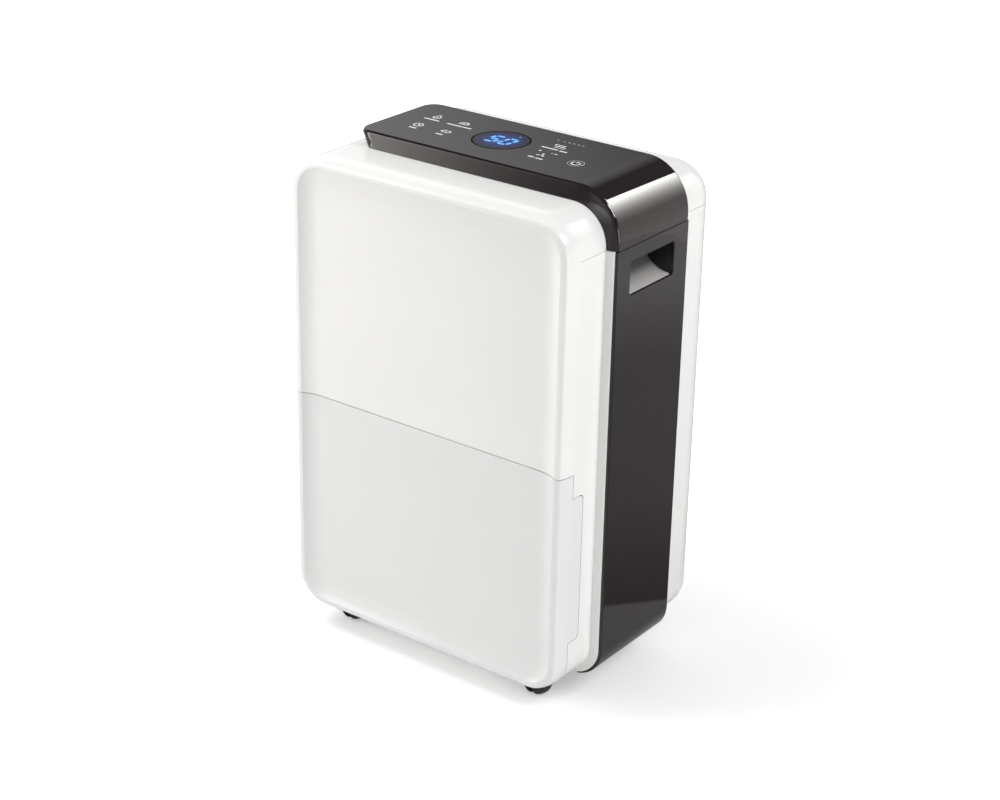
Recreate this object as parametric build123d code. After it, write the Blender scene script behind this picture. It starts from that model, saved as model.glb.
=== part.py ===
from build123d import *
import math
import os

os.makedirs("parts", exist_ok=True)

# Overall size
WIDTH = 350.0
DEPTH = 245.0
HEIGHT = 520.0

# Proud black band over the top and down the right side, and a low panel on the left side
BAND_SETBACK = 59.0
BAND_REAR_SETBACK = 71.0
BAND_RISE_SIDE = 12.0
BAND_RISE_TOP = 16.0
BAND_BOTTOM = 22.5
BAND_R_TOP = 47.0
BAND_R_BOTTOM = 34.0
BAND_WALL = 3.0
BAND_DRAFT = 3.0
BAND_EDGE = 3.5
BAND_HOOK = 27.0
PANEL_EDGE = 2.0
END_WALL = 2.0
SEAM_DROP = 54.7
SEAM_GAP = 0.6
TONGUE_SETBACK = 41.0
TONGUE_FOOT_SETBACK = 55.0
TONGUE_JOIN_SETBACK = 95.0
TONGUE_R = 20.0
TONGUE_FOOT_R = 14.0
TONGUE_WALL = 3.5
LEFT_R = 12.0

# White shells
SHELL_BOTTOM = 24.5
SHELL_R_TOP = 37.0
SHELL_R_BOTTOM = 35.0
SHELL_REAR_R = 30.0
WALL = 2.5
FLANGE = 2.5
GROOVE = 0.8

# Front face: rim, crest and shallow dish
RIM_INSET = 6.5
RIM_DEPTH = 18.5
RIM_R = 4.0
RIM_IN_R = 2.0
CREST = 3.0
DISH_DEPTH = 6.0
DISH_RUN = 20.0

# Bucket, with its side wings, tank, lid and float
BUCKET_SHARE = 0.486
BUCKET_GAP = 0.8
WING_RISE = 55.5
WING_DROP = 25.5
WING_LENGTH = 16.0
WING_LAP = 5.0
WING_R = 6.0
TANK_SIDE = 21.0
TANK_RISE = 18.0
TANK_DROP = 35.5
TANK_WALL = 2.0
TANK_R = 14.0
LID_THICK = 2.5
LID_SKIRT = 6.0
LID_FIT = 0.3
LID_WALL = 2.0
INLET_HALF = 30.0
INLET_REACH = 18.0
POUR_SETBACK = 40.0
POUR_LENGTH = 28.0
POUR_WIDTH = 30.0
POUR_FRONT = 20.0
PIVOT_SETBACK = 16.0
PIVOT_DROP = 58.0
PIVOT_R = 2.5
EAR_X = 25.5
EAR_THICK = 3.0
EAR_REACH = 6.0
FLOAT_HALF = 20.0
FLOAT_ROOM = 18.0
FLOAT_LOW = 18.0
FLOAT_HIGH = 6.0
FLOAT_GAP = 2.0
BARREL_R = 6.0
ARM_HALF = 8.0
ARM_LENGTH = 14.0
MAGNET_R = 5.0
MAGNET_THICK = 3.5

# Handle cups in the side panels
CUP_SHIFT = 1.0
CUP_MARGIN = 21.25
CUP_DROP = 69.3
CUP_HEIGHT = 32.8
CUP_DEPTH = 34.0
CUP_LIP = 8.0
CUP_R = 4.0

# Display and its board on four posts
LENS_D = 57.0
LENS_GAP = 0.2
HOUSING_INSET = 3.0
HOUSING_WALL = 2.0
BOARD_THICK = 1.6
DISPLAY_BOARD_SIDE = 10.0
DISPLAY_BOARD_REACH = 38.0
POST_R = 4.0
POST_SPAN = 30.0
POST_RISE = 2.0

# Casters
CASTER_X = 117.0
CASTER_FRONT_SETBACK = 44.5
CASTER_REAR_SETBACK = 40.5
CASTER_TRAIL = 8.0
WHEEL_R = 15.0
WHEEL_WIDTH = 25.0
AXLE_R = 2.5
STEM_R = 4.0
RUNNING = 0.05
WELL_R = 21.5
WELL_WALL = 2.0
WELL_TOP = 42.0
WELL_ROOF = 3.0
CASE_WELL_TOP = 36.0
BOSS_WALL = 4.0
BOSS_RISE = 5.0
YOKE_R = 11.0
YOKE_PLATE = 3.2
YOKE_GAP = 0.8
SWIVEL_GAP = 0.3
STEM_CAP = 1.5
WEB_HALF = 3.0
WEB_FRONT = 5.0
WEB_REAR = 6.0
WHEEL_SLOT = 7.0
HUB_R = 6.0

# Inside: heights above and setbacks from the planes they hang on
DECK_RISE = 4.5
DECK_PLATE = 3.0
BASE_PLATE = 3.0
COMPRESSOR_ROOM = 131.5
BULKHEAD_SPACE = 8.0
BULKHEAD_PLATE = 2.5
PLINTH_HEIGHT = 16.0
PLINTH_MARGIN = 10.0
PLINTH_GAP = 2.0
UPSTAND = 42.0
UPSTAND_HALF = 130.0
UPSTAND_THICK = 5.0
BUCKET_RAIL_X = 65.0
BUCKET_RAIL_WIDTH = 10.0
BUCKET_RAIL_GAP = 0.4
SHELF_GAP = 3.0
LUG_DEPTH = 16.0
LUG_THICK = 4.0
LUG_SETBACK = 40.0
DECK_FIT = 0.5
REED_HALF = 15.0
REED_THICK = 6.0
REED_HEIGHT = 20.0
REED_DROP = 27.0

# Coils, each a tube through a pack of fins
EVAPORATOR_SETBACK = 39.0
COIL_SPACING = 39.0
COIL_SIDE_ROOM = 39.0
COIL_HEADROOM = 34.0
COIL_RISE = 21.0
COIL_PASSES = 8
FIN_COUNT = 20
FIN_DEPTH = 30.0
FIN_THICK = 0.8
FIN_MARGIN = 12.0
END_PLATE = 1.5
END_PLATE_RISE = 14.0
TUBE_R = 4.5
TUBE_BORE = 3.8
TUBE_RUN = 2.0
TUBE_STUB = 6.0
PIPE_SIDE = 26.0
PIPE_BEND = 9.0
PIPE_HOLE = 7.0
CAPILLARY_R = 1.6
CAPILLARY_BORE = 0.8
CAPILLARY_REACH = 8.0
CAPILLARY_BEND = 5.0
SWAGE = 2.0

# Drip tray, its spout over the bucket and its nipple over the drain
TRAY_HEIGHT = 12.0
TRAY_WALL = 2.0
TRAY_SIDE = 16.0
TRAY_GAP = 1.5
TRAY_REAR_GAP = 8.0
CHANNEL_HALF = 20.0
CHANNEL_HEIGHT = 8.0
CHANNEL_REACH = 13.0
SPOUT_SETBACK = 23.0
SPOUT_R = 10.0
SPOUT_BORE = 8.0
SPOUT_RISE = 22.0
NIPPLE_SETBACK = 36.0
NIPPLE_R = 5.0
NIPPLE_BORE = 3.5
NIPPLE_LENGTH = 12.0

# Fan
FAN_X = 10.0
FAN_RISE = 119.0
FAN_R = 76.0
FAN_BLADES = 28
BLADE_CHORD = 14.0
BLADE_THICK = 1.2
BLADE_ANGLE = 38.0
END_RING = 10.0
BLADE_INSET = 7.5
FAN_DISC = 2.0
FAN_RING = 3.0
WHEEL_GAP = 6.0
HUB_WIDTH = 16.0
FAN_HUB_R = 12.0
SCROLL_WALL = 2.2
SCROLL_CLEAR = 10.0
SCROLL_GROWTH = 6.0
SCROLL_BORE = 14.0
TONGUE = 4.0
DUCT_DROP = 28.0
DUCT_TOP_DROP = 40.0
ORIFICE_PLATE = 2.5
ORIFICE_SETBACK = 24.0
ORIFICE_LAP = 16.0
ORIFICE_SIDE = 10.0
ORIFICE_HEADROOM = 6.0
MOTOR_ROOM = 22.0
MOTOR_R = 36.0
MOTOR_LENGTH = 42.0
MOTOR_EDGE = 6.0
BRACKET_THICK = 6.0
BRACKET_MARGIN = 8.0
SHAFT_R = 4.0
SHAFT_SEAT = 20.0
SHAFT_REACH = 18.0

# Compressor
COMPRESSOR_X = 50.0
COMPRESSOR_SETBACK = 62.0
COMPRESSOR_R = 52.0
COMPRESSOR_EDGE = 16.0
COMPRESSOR_HEADROOM = 53.0
FOOT_THICK = 3.0
LOBE_R = 10.0
LOBE_REACH = 4.0
GROMMET_R = 9.0
GROMMET_BORE = 4.0
GROMMET_HEIGHT = 8.0
BOLT_R = 3.5
BOLT_HEAD_R = 5.8
BOLT_HEAD = 3.5
STUB_R = 5.5
STUB_RISE = 14.0
ACCUMULATOR_R = 20.0
ACCUMULATOR_SIDE = 20.5
ACCUMULATOR_RISE = 33.0
ACCUMULATOR_DROP = 19.0
ACCUMULATOR_EDGE = 8.0
ELBOW_R = 5.0
ELBOW_BORE = 3.0
ELBOW_RISE = 20.0
ELBOW_BEND = 8.0
LINE_STEP = 20.0

# Control box, its board and the run capacitor
BOX_SIDE = 13.0
BOX_WIDTH = 110.0
BOX_DEPTH = 46.5
BOX_RISE = 40.0
BOX_HEIGHT = 120.0
BOX_WALL = 3.0
BOX_BACK = 2.5
BOX_COVER = 2.0
BOX_POST_R = 3.0
BOX_POST_INSET = 12.0
BOARD_GAP = 3.0
TRANSFORMER = (20.0, 20.0, 30.0, 28.0, 20.0)
RELAY = (62.0, 30.0, 20.0, 16.0, 14.0)
TERMINALS = (30.0, 84.0, 50.0, 14.0, 8.0)
CAPACITOR_R = 18.0
CAPACITOR_HEIGHT = 76.0
CAPACITOR_INSET = 20.0
CAPACITOR_SETBACK = 17.0
CAPACITOR_EDGE = 3.0

# Rear: grille, filter and drain
GRILLE_HALF_WIDTH = 118.0
GRILLE_RISE = 25.0
GRILLE_DROP = 13.3
GRILLE_BORDER = 6.0
GRILLE_R = 8.0
SLOT_ROWS = 14
SLOT_COLUMNS = 4
SLOT_SHARE = 0.62
SLOT_RIB = 4.0
OUTLET_ROWS = 7
OUTLET_SLOT = 5.2
OUTLET_BORDER = 3.0
OUTLET_INSET = 0.4
OUTLET_LAP = 2.0
FILTER_HALF_WIDTH = 120.0
FILTER_THICK = 6.0
FILTER_SETBACK = 10.0
FILTER_DROP = 11.0
FILTER_BORDER = 8.0
FILTER_COLUMNS = 6
FILTER_ROWS = 5
FILTER_GRIP_HALF = 22.0
FILTER_GRIP = 4.0
SHEET_THICK = 0.6
SHEET_LAP = 4.0
RAIL_FIT = 0.5
RAIL_RISE = 12.0
RAIL_HEADROOM = 5.0
RAIL_FLOOR = 3.5
RAIL_LIP = 6.5
RAIL_SIDE = 3.0
RAIL_WALL = 2.5
DRAIN_X = -100.0
DRAIN_DROP = 29.0
RECESS_R = 23.0
RECESS_DEPTH = 16.0
SPIGOT_R = 8.0
SPIGOT_BORE = 5.5
SPIGOT_BEND = 12.0
SPIGOT_SETBACK = 2.0
COLLAR = 2.0
PLUG_GRIP = 10.0
GLAND_X = -105.0
GLAND_RISE = 60.0
GLAND_R = 8.0
GLAND_FLANGE_R = 11.0
GLAND_FLANGE = 3.0
GLAND_BORE = 4.0
SCREW_R = 1.9
SCREW_BORE = 2.0
SCREW_HEAD_R = 3.5
SCREW_HEAD = 1.5
SCREW_DEPTH = 7.0
HEAD_FIT = 0.2
DRIVE_WIDTH = 1.0
DRIVE_DEPTH = 0.8
DRIVE_LENGTH = 4.4
SCREW_SIDE = 43.0
SCREW_RISE = 32.0
SCREW_DROP = 8.0

# How far a cutting tool reaches past the face that it cuts, and past the whole machine
OVER = 1.0
MARGIN = 50.0

# Distance within which an edge counts as lying on a plane
NEAR = 0.01

# Derived planes
FRONT = -DEPTH / 2
REAR = DEPTH / 2
HALF = WIDTH / 2
X_SKIN = HALF - BAND_WALL
BAND_FRONT = FRONT + BAND_SETBACK
BAND_REAR = REAR - BAND_REAR_SETBACK
BAND_LENGTH = BAND_REAR - BAND_FRONT
BAND_MID = (BAND_FRONT + BAND_REAR) / 2
FLANGE_FRONT = BAND_FRONT - BAND_DRAFT
FLANGE_REAR = BAND_REAR + BAND_DRAFT
SHELL_HALF = HALF - BAND_RISE_SIDE
SHELL_TOP = HEIGHT - BAND_RISE_TOP
SEAM_Z = HEIGHT - SEAM_DROP
PANEL_TOP = SEAM_Z - SEAM_GAP / 2
TONGUE_END = HALF - TONGUE_SETBACK
TONGUE_FOOT = HALF - TONGUE_FOOT_SETBACK
TONGUE_JOIN = HALF - TONGUE_JOIN_SETBACK
DISPLAY_BOARD_HALF = TONGUE_FOOT - DISPLAY_BOARD_SIDE
PARTING = FRONT + RIM_DEPTH
BASE_LOW = SHELL_BOTTOM + WALL
BASE_TOP = BASE_LOW + BASE_PLATE
PLINTH_TOP = BASE_TOP + PLINTH_HEIGHT
BUCKET_TOP = SHELL_BOTTOM + round(BUCKET_SHARE * (SHELL_TOP - SHELL_BOTTOM))
WING_BOTTOM = SHELL_BOTTOM + WING_RISE
WING_TOP = BUCKET_TOP - WING_DROP
DECK_LOW = BUCKET_TOP + DECK_RISE
DECK_TOP = DECK_LOW + DECK_PLATE
TANK_HALF_WIDTH = SHELL_HALF - TANK_SIDE
REAR_IN = REAR - WALL
BULKHEAD_REAR = REAR_IN - COMPRESSOR_ROOM
BULKHEAD_FRONT = BULKHEAD_REAR - BULKHEAD_PLATE
TANK_FRONT = FRONT + DISH_DEPTH + WALL
TANK_REAR = BULKHEAD_FRONT - BULKHEAD_SPACE
TANK_DEPTH = TANK_REAR - TANK_FRONT
TANK_BOTTOM = BASE_TOP + TANK_RISE
TANK_TOP = BUCKET_TOP - TANK_DROP
PIVOT_Y = TANK_REAR - PIVOT_SETBACK
PIVOT_Z = TANK_TOP - PIVOT_DROP
FLOAT_LENGTH = TANK_DEPTH - TANK_WALL - PIVOT_SETBACK - ARM_LENGTH - FLOAT_ROOM
COMPRESSOR_Y = REAR_IN - COMPRESSOR_SETBACK
CUP_CENTRE_Y = BAND_MID - CUP_SHIFT
CUP_LENGTH = BAND_LENGTH - 2 * CUP_MARGIN
CUP_TOP = HEIGHT - CUP_DROP
CUP_BOTTOM = CUP_TOP - CUP_HEIGHT
EVAPORATOR_Y = REAR_IN - EVAPORATOR_SETBACK
CONDENSER_Y = EVAPORATOR_Y - COIL_SPACING
TRAY_FLOOR = DECK_TOP + TRAY_WALL
COIL_HALF_WIDTH = SHELL_HALF - COIL_SIDE_ROOM
COIL_LOW = TRAY_FLOOR + COIL_RISE
COIL_HIGH = SHELL_TOP - COIL_HEADROOM
COIL_PITCH = (COIL_HIGH - COIL_LOW) / (COIL_PASSES - 1)
COIL_LEVELS = [COIL_LOW + COIL_PITCH * i for i in range(COIL_PASSES)]
TUBE_END = COIL_HALF_WIDTH + TUBE_RUN + TUBE_STUB
PIPE_X = COIL_HALF_WIDTH + PIPE_SIDE
ORIFICE_FRONT = CONDENSER_Y - ORIFICE_SETBACK
ORIFICE_REAR = ORIFICE_FRONT + ORIFICE_PLATE
SCROLL_FRONT = TANK_FRONT + MOTOR_ROOM + MOTOR_LENGTH + BRACKET_THICK
SCROLL_DEPTH = ORIFICE_FRONT - SCROLL_FRONT
FAN_WIDTH = SCROLL_DEPTH - 2 * WHEEL_GAP
FAN_Z = DECK_TOP + FAN_RISE
DUCT_LOW = FAN_Z - FAN_R - DUCT_DROP
DUCT_HIGH = FAN_Z - DUCT_TOP_DROP
GRILLE_LOW = DECK_TOP + GRILLE_RISE
GRILLE_HIGH = SEAM_Z - GRILLE_DROP
FILTER_Y = REAR_IN - FILTER_SETBACK
DRAIN_Z = DECK_LOW - DRAIN_DROP
RECESS_FLOOR = REAR_IN - RECESS_DEPTH
SPOUT_Y = TANK_REAR - SPOUT_SETBACK
NIPPLE_Y = REAR_IN - NIPPLE_SETBACK
GLAND_Z = BASE_TOP + GLAND_RISE
CASTER_FRONT_Y = FRONT + CASTER_FRONT_SETBACK
CASTER_REAR_Y = REAR - CASTER_REAR_SETBACK
WELLS = {
    "fl": (-CASTER_X, CASTER_FRONT_Y),
    "fr": (CASTER_X, CASTER_FRONT_Y),
    "rl": (-CASTER_X, CASTER_REAR_Y),
    "rr": (CASTER_X, CASTER_REAR_Y),
}
SCREW_X = SHELL_HALF - SCREW_SIDE
LOW_SCREWS = [(x, BASE_TOP + SCREW_RISE) for x in (-SCREW_X, -SCREW_X / 3, SCREW_X / 3, SCREW_X)]
HIGH_SCREWS = [(x, DECK_LOW - SCREW_DROP) for x in (-SCREW_X / 3, SCREW_X / 2, SCREW_X)]


def block(x0, x1, y0, y1, z0, z1):
    centre = Pos((x0 + x1) / 2, (y0 + y1) / 2, (z0 + z1) / 2)
    return centre * Box(x1 - x0, y1 - y0, z1 - z0)


def rod_x(radius, x0, x1, y, z):
    return Pos((x0 + x1) / 2, y, z) * Rot(0, 90, 0) * Cylinder(radius, x1 - x0)


def rod_y(radius, x, y0, y1, z):
    return Pos(x, (y0 + y1) / 2, z) * Rot(90, 0, 0) * Cylinder(radius, y1 - y0)


def rod_z(radius, x, y, z0, z1):
    return Pos(x, y, (z0 + z1) / 2) * Cylinder(radius, z1 - z0)


def arc(start, centre, radius, angle, end):
    turn = math.radians(angle)
    middle = (centre[0] + radius * math.cos(turn), centre[1] + radius * math.sin(turn))
    return ThreePointArc(start, middle, end)


def outline(half, z0, z1, r_top, r_bottom, y):
    k = math.sqrt(0.5)
    cb = half - r_bottom
    ct = half - r_top
    zb = z0 + r_bottom
    zt = z1 - r_top
    edges = [
        Line((0, y, z0), (cb, y, z0)),
        ThreePointArc((cb, y, z0), (cb + k * r_bottom, y, zb - k * r_bottom), (half, y, zb)),
        Line((half, y, zb), (half, y, zt)),
        ThreePointArc((half, y, zt), (ct + k * r_top, y, zt + k * r_top), (ct, y, z1)),
        Line((ct, y, z1), (-ct, y, z1)),
        ThreePointArc((-ct, y, z1), (-ct - k * r_top, y, zt + k * r_top), (-half, y, zt)),
        Line((-half, y, zt), (-half, y, zb)),
        ThreePointArc((-half, y, zb), (-cb - k * r_bottom, y, zb - k * r_bottom), (-cb, y, z0)),
        Line((-cb, y, z0), (0, y, z0)),
    ]
    return Wire(edges)


def shell_wire(inset, y):
    return outline(
        SHELL_HALF - inset, SHELL_BOTTOM + inset, SHELL_TOP - inset,
        SHELL_R_TOP - inset, SHELL_R_BOTTOM - inset, y)


def band_wire(inset, y):
    return outline(
        HALF - inset, BAND_BOTTOM + inset, HEIGHT - inset,
        BAND_R_TOP - inset, BAND_R_BOTTOM - inset, y)


def left_wire(inset, y):
    return outline(
        HALF - inset, BAND_BOTTOM + inset, PANEL_TOP - inset,
        LEFT_R - inset, BAND_R_BOTTOM - inset, y)


def prism(wire, length):
    return extrude(make_face(wire.edges()), amount=length, dir=(0, 1, 0))


def envelope(inset):
    body = prism(shell_wire(inset, PARTING), REAR - inset - PARTING)
    rear_edges = body.faces().sort_by(Axis.Y)[-1].edges()
    return fillet(rear_edges, SHELL_REAR_R - inset)


def above(z):
    return block(-HALF - MARGIN, HALF + MARGIN, FRONT - MARGIN, REAR + MARGIN, z, HEIGHT + MARGIN)


def below(z):
    return block(-HALF - MARGIN, HALF + MARGIN, FRONT - MARGIN, REAR + MARGIN, -MARGIN, z)


def right_of(x):
    return block(x, HALF + MARGIN, FRONT - MARGIN, REAR + MARGIN, -MARGIN, HEIGHT + MARGIN)


def left_of(x):
    return block(-HALF - MARGIN, x, FRONT - MARGIN, REAR + MARGIN, -MARGIN, HEIGHT + MARGIN)


def between_y(y0, y1):
    return block(-HALF - MARGIN, HALF + MARGIN, y0, y1, -MARGIN, HEIGHT + MARGIN)


def pipe(points, bend, radius, bore):
    path = FilletPolyline(*points, radius=bend)
    start = Plane(origin=path @ 0, z_dir=path % 0)
    return sweep(start * (Circle(radius) - Circle(bore)), path=path)


def save(part, name):
    part.label = name
    export_step(part, "parts/" + name + ".step")


# Front face, swept round the shell outline and closed by the dish floor
crest_out = RIM_INSET + CREST
dish_end = crest_out + DISH_RUN
dish_r = (DISH_RUN ** 2 + DISH_DEPTH ** 2) / (2 * DISH_DEPTH)
dish_angle = math.asin(DISH_RUN / dish_r)
inner_r = dish_r + WALL
inner_crest_depth = DISH_DEPTH - dish_r + inner_r * math.cos(dish_angle)
inner_crest_inset = dish_end - inner_r * math.sin(dish_angle)


def rim_point(depth, inset):
    return (0, FRONT + depth, SHELL_BOTTOM + inset)


def dish_point(angle, radius):
    depth = DISH_DEPTH - dish_r + radius * math.cos(angle)
    return rim_point(depth, dish_end - radius * math.sin(angle))


def shoulder(depth_end, inset_start, inset_end, tight):
    depth = RIM_DEPTH - depth_end
    inset = inset_end - inset_start
    wide = (depth ** 2 + inset ** 2 - 2 * depth * tight) / (2 * (inset - tight))
    join = math.atan2(depth - tight, wide - inset)

    def wide_point(angle):
        return rim_point(RIM_DEPTH - wide * math.sin(angle), inset_start + wide - wide * math.cos(angle))

    def tight_point(angle):
        return rim_point(depth_end + tight - tight * math.sin(angle), inset_end - tight * math.cos(angle))

    middle = (join + math.pi / 2) / 2
    return [
        ThreePointArc(wide_point(0), wide_point(join / 2), wide_point(join)),
        ThreePointArc(tight_point(join), tight_point(middle), tight_point(math.pi / 2)),
    ]


rim_edges = shoulder(0, 0, RIM_INSET, RIM_R) + [
    Line(rim_point(0, RIM_INSET), rim_point(0, crest_out)),
    ThreePointArc(
        dish_point(dish_angle, dish_r), dish_point(dish_angle / 2, dish_r), dish_point(0, dish_r)),
    Line(dish_point(0, dish_r), dish_point(0, inner_r)),
    ThreePointArc(
        dish_point(0, inner_r), dish_point(dish_angle / 2, inner_r), dish_point(dish_angle, inner_r)),
    Line(rim_point(RIM_DEPTH, WALL), rim_point(RIM_DEPTH, 0)),
] + shoulder(inner_crest_depth, WALL, inner_crest_inset, RIM_IN_R)
rim = sweep(make_face(rim_edges), path=shell_wire(0, PARTING))
front_face = rim + prism(shell_wire(dish_end, FRONT + DISH_DEPTH), WALL)


def wing(gap):
    tab = block(
        SHELL_HALF - WALL - WING_LAP, HALF, PARTING - WING_LAP, PARTING + WING_LENGTH + gap,
        WING_BOTTOM - gap, WING_TOP + gap)
    tab = fillet(tab.edges().filter_by(Axis.X).group_by(Axis.Y)[-1], WING_R)
    return tab + mirror(tab, about=Plane.YZ)


def well_holes():
    holes = [rod_z(WELL_R, x, y, 0, CASE_WELL_TOP) for x, y in WELLS.values()]
    return holes[0] + holes[1:]


# Upper front panel and bucket front share the swept face
outer = envelope(0)
inner = envelope(WALL)
shell = outer - inner
save(front_face & above(BUCKET_TOP + BUCKET_GAP / 2), "front_panel")

bucket_slit = between_y(PARTING - BUCKET_GAP, PARTING) - wing(0)
bucket_front = (front_face & below(BUCKET_TOP - BUCKET_GAP / 2)) - bucket_slit + (shell & wing(0))
save(bucket_front, "bucket_front")

# White case behind the front face, parted at the seam and open beside the band
seam_groove = (outer - envelope(GROOVE)) & above(SEAM_Z - SEAM_GAP) & below(SEAM_Z)


def flange(y0):
    right = prism(band_wire(BAND_WALL, y0), FLANGE) & right_of(0)
    left = prism(left_wire(BAND_WALL, y0), FLANGE) & left_of(0)
    ring = right + left - prism(shell_wire(WALL, y0), FLANGE)
    return ring & below(SEAM_Z)


front_case = shell & between_y(PARTING, FLANGE_FRONT + FLANGE) & below(SEAM_Z)
front_case = front_case + flange(FLANGE_FRONT)
front_case = front_case - seam_groove - wing(BUCKET_GAP) - well_holes()
save(front_case, "front_case")

# Rear case with filter rails, drain recess, grille opening and gland hole
rail_front = FILTER_Y - FILTER_THICK / 2 - RAIL_FIT
rail_rear = FILTER_Y + FILTER_THICK / 2 + RAIL_FIT
rail_in = FILTER_HALF_WIDTH + RAIL_FIT
rail_low = TRAY_FLOOR + RAIL_RISE
rail = block(
    rail_in - RAIL_LIP, rail_in + RAIL_SIDE, rail_front - RAIL_WALL, REAR_IN,
    rail_low, SEAM_Z - RAIL_HEADROOM)
rail = rail - block(
    rail_in - RAIL_LIP - OVER, rail_in, rail_front, rail_rear, rail_low + RAIL_FLOOR, SEAM_Z)
grille_mid = (GRILLE_LOW + GRILLE_HIGH) / 2
grille_face = Plane(origin=(0, REAR_IN, grille_mid), x_dir=(1, 0, 0), z_dir=(0, -1, 0))
grille_shape = RectangleRounded(2 * GRILLE_HALF_WIDTH, GRILLE_HIGH - GRILLE_LOW, GRILLE_R)
grille_stock = extrude(grille_face * grille_shape, amount=-WALL)
rear_case = shell & between_y(FLANGE_REAR - FLANGE, REAR + MARGIN) & below(SEAM_Z)
rear_case = rear_case + flange(FLANGE_REAR - FLANGE)
rear_case = rear_case - grille_stock - seam_groove - well_holes()
rear_case = rear_case + rod_y(RECESS_R + WALL, DRAIN_X, RECESS_FLOOR, REAR_IN, DRAIN_Z)
rear_case = rear_case - rod_y(RECESS_R, DRAIN_X, RECESS_FLOOR + WALL, REAR + OVER, DRAIN_Z)
rear_case = rear_case - rod_y(SPIGOT_R + COLLAR, DRAIN_X, RECESS_FLOOR - OVER, REAR, DRAIN_Z)
rear_case = rear_case - rod_y(GLAND_R, GLAND_X, REAR_IN - OVER, REAR + OVER, GLAND_Z)
rear_case = rear_case + rail + mirror(rail, about=Plane.YZ)
for sx, sz in LOW_SCREWS + HIGH_SCREWS:
    rear_case = rear_case - rod_y(SCREW_BORE, sx, REAR_IN - OVER, REAR + OVER, sz)
    rear_case = rear_case - rod_y(SCREW_HEAD_R + HEAD_FIT, sx, REAR - SCREW_HEAD, REAR + OVER, sz)
save(rear_case, "rear_case")

screws = []
for sx, sz in LOW_SCREWS + HIGH_SCREWS:
    screw = rod_y(SCREW_HEAD_R, sx, REAR - SCREW_HEAD, REAR, sz)
    screw = screw + rod_y(SCREW_R, sx, REAR_IN - SCREW_DEPTH, REAR - DRIVE_DEPTH, sz)
    drive = block(
        sx - DRIVE_LENGTH / 2, sx + DRIVE_LENGTH / 2, REAR - DRIVE_DEPTH, REAR + OVER,
        sz - DRIVE_WIDTH / 2, sz + DRIVE_WIDTH / 2)
    screws.append(screw - drive)
save(Compound(children=screws), "rear_screws")

# Intake grille: frame with rows of slots
slot_step = (GRILLE_HIGH - GRILLE_LOW - 2 * GRILLE_BORDER) / SLOT_ROWS
slot_cell = 2 * (GRILLE_HALF_WIDTH - GRILLE_BORDER) / SLOT_COLUMNS
slots = []
for i in range(SLOT_ROWS):
    z_mid = GRILLE_LOW + GRILLE_BORDER + slot_step * (i + 0.5)
    z_half = slot_step * SLOT_SHARE / 2
    for j in range(SLOT_COLUMNS):
        x0 = GRILLE_BORDER - GRILLE_HALF_WIDTH + slot_cell * j
        slots.append(block(
            x0 + SLOT_RIB / 2, x0 + slot_cell - SLOT_RIB / 2, REAR_IN - OVER, REAR + OVER,
            z_mid - z_half, z_mid + z_half))
save(grille_stock - slots, "intake_grille")

# White top cover, running under the band, with the filter slot at the rear
slot_half = rail_in + RAIL_FIT
filter_slot = block(
    -slot_half, slot_half, rail_front - HEAD_FIT, rail_rear + HEAD_FIT, SEAM_Z + OVER, HEIGHT)
top_cover = (shell & above(SEAM_Z)) - filter_slot
post_top = SHELL_TOP + POST_RISE
for px in (-POST_SPAN, POST_SPAN):
    for py in (BAND_MID - POST_SPAN, BAND_MID + POST_SPAN):
        top_cover = top_cover + rod_z(POST_R, px, py, SHELL_TOP - OVER, post_top)
save(top_cover, "top_cover")

# Black control panel: skin over the top cover with slanted skirts and an overhanging left tongue
def tongue_face(z, end, front, rear, radius):
    k = radius * (1 - math.sqrt(0.5))
    return Face(Wire([
        Line((-TONGUE_JOIN, front, z), (radius - end, front, z)),
        ThreePointArc((radius - end, front, z), (k - end, front + k, z), (-end, front + radius, z)),
        Line((-end, front + radius, z), (-end, rear - radius, z)),
        ThreePointArc((-end, rear - radius, z), (k - end, rear - k, z), (radius - end, rear, z)),
        Line((radius - end, rear, z), (-TONGUE_JOIN, rear, z)),
        Line((-TONGUE_JOIN, rear, z), (-TONGUE_JOIN, front, z)),
    ]))


band_front_loft = loft([
    Face(shell_wire(0, FLANGE_FRONT)), Face(band_wire(0, BAND_FRONT))], ruled=True)
band_rear_loft = loft([
    Face(band_wire(0, BAND_REAR)), Face(shell_wire(0, FLANGE_REAR))], ruled=True)
band = band_front_loft + prism(band_wire(0, BAND_FRONT), BAND_LENGTH) + band_rear_loft
band = band & above(SEAM_Z + SEAM_GAP / 2) & right_of(-TONGUE_JOIN)
tongue = loft([
    tongue_face(SHELL_TOP, TONGUE_FOOT, FLANGE_FRONT, FLANGE_REAR, TONGUE_FOOT_R),
    tongue_face(HEIGHT, TONGUE_END, BAND_FRONT, BAND_REAR, TONGUE_R)], ruled=True)
band = band + tongue


def ridge(body):
    edges = []
    for edge in body.edges():
        box = edge.bounding_box()
        on_front = abs(box.min.Y - BAND_FRONT) + abs(box.max.Y - BAND_FRONT) < NEAR
        on_rear = abs(box.min.Y - BAND_REAR) + abs(box.max.Y - BAND_REAR) < NEAR
        on_end = box.min.Z > HEIGHT - NEAR and box.max.X < OVER - TONGUE_JOIN
        if on_end or (box.min.Z > SEAM_Z - OVER and (on_front or on_rear)):
            edges.append(edge)
    return edges


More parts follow.
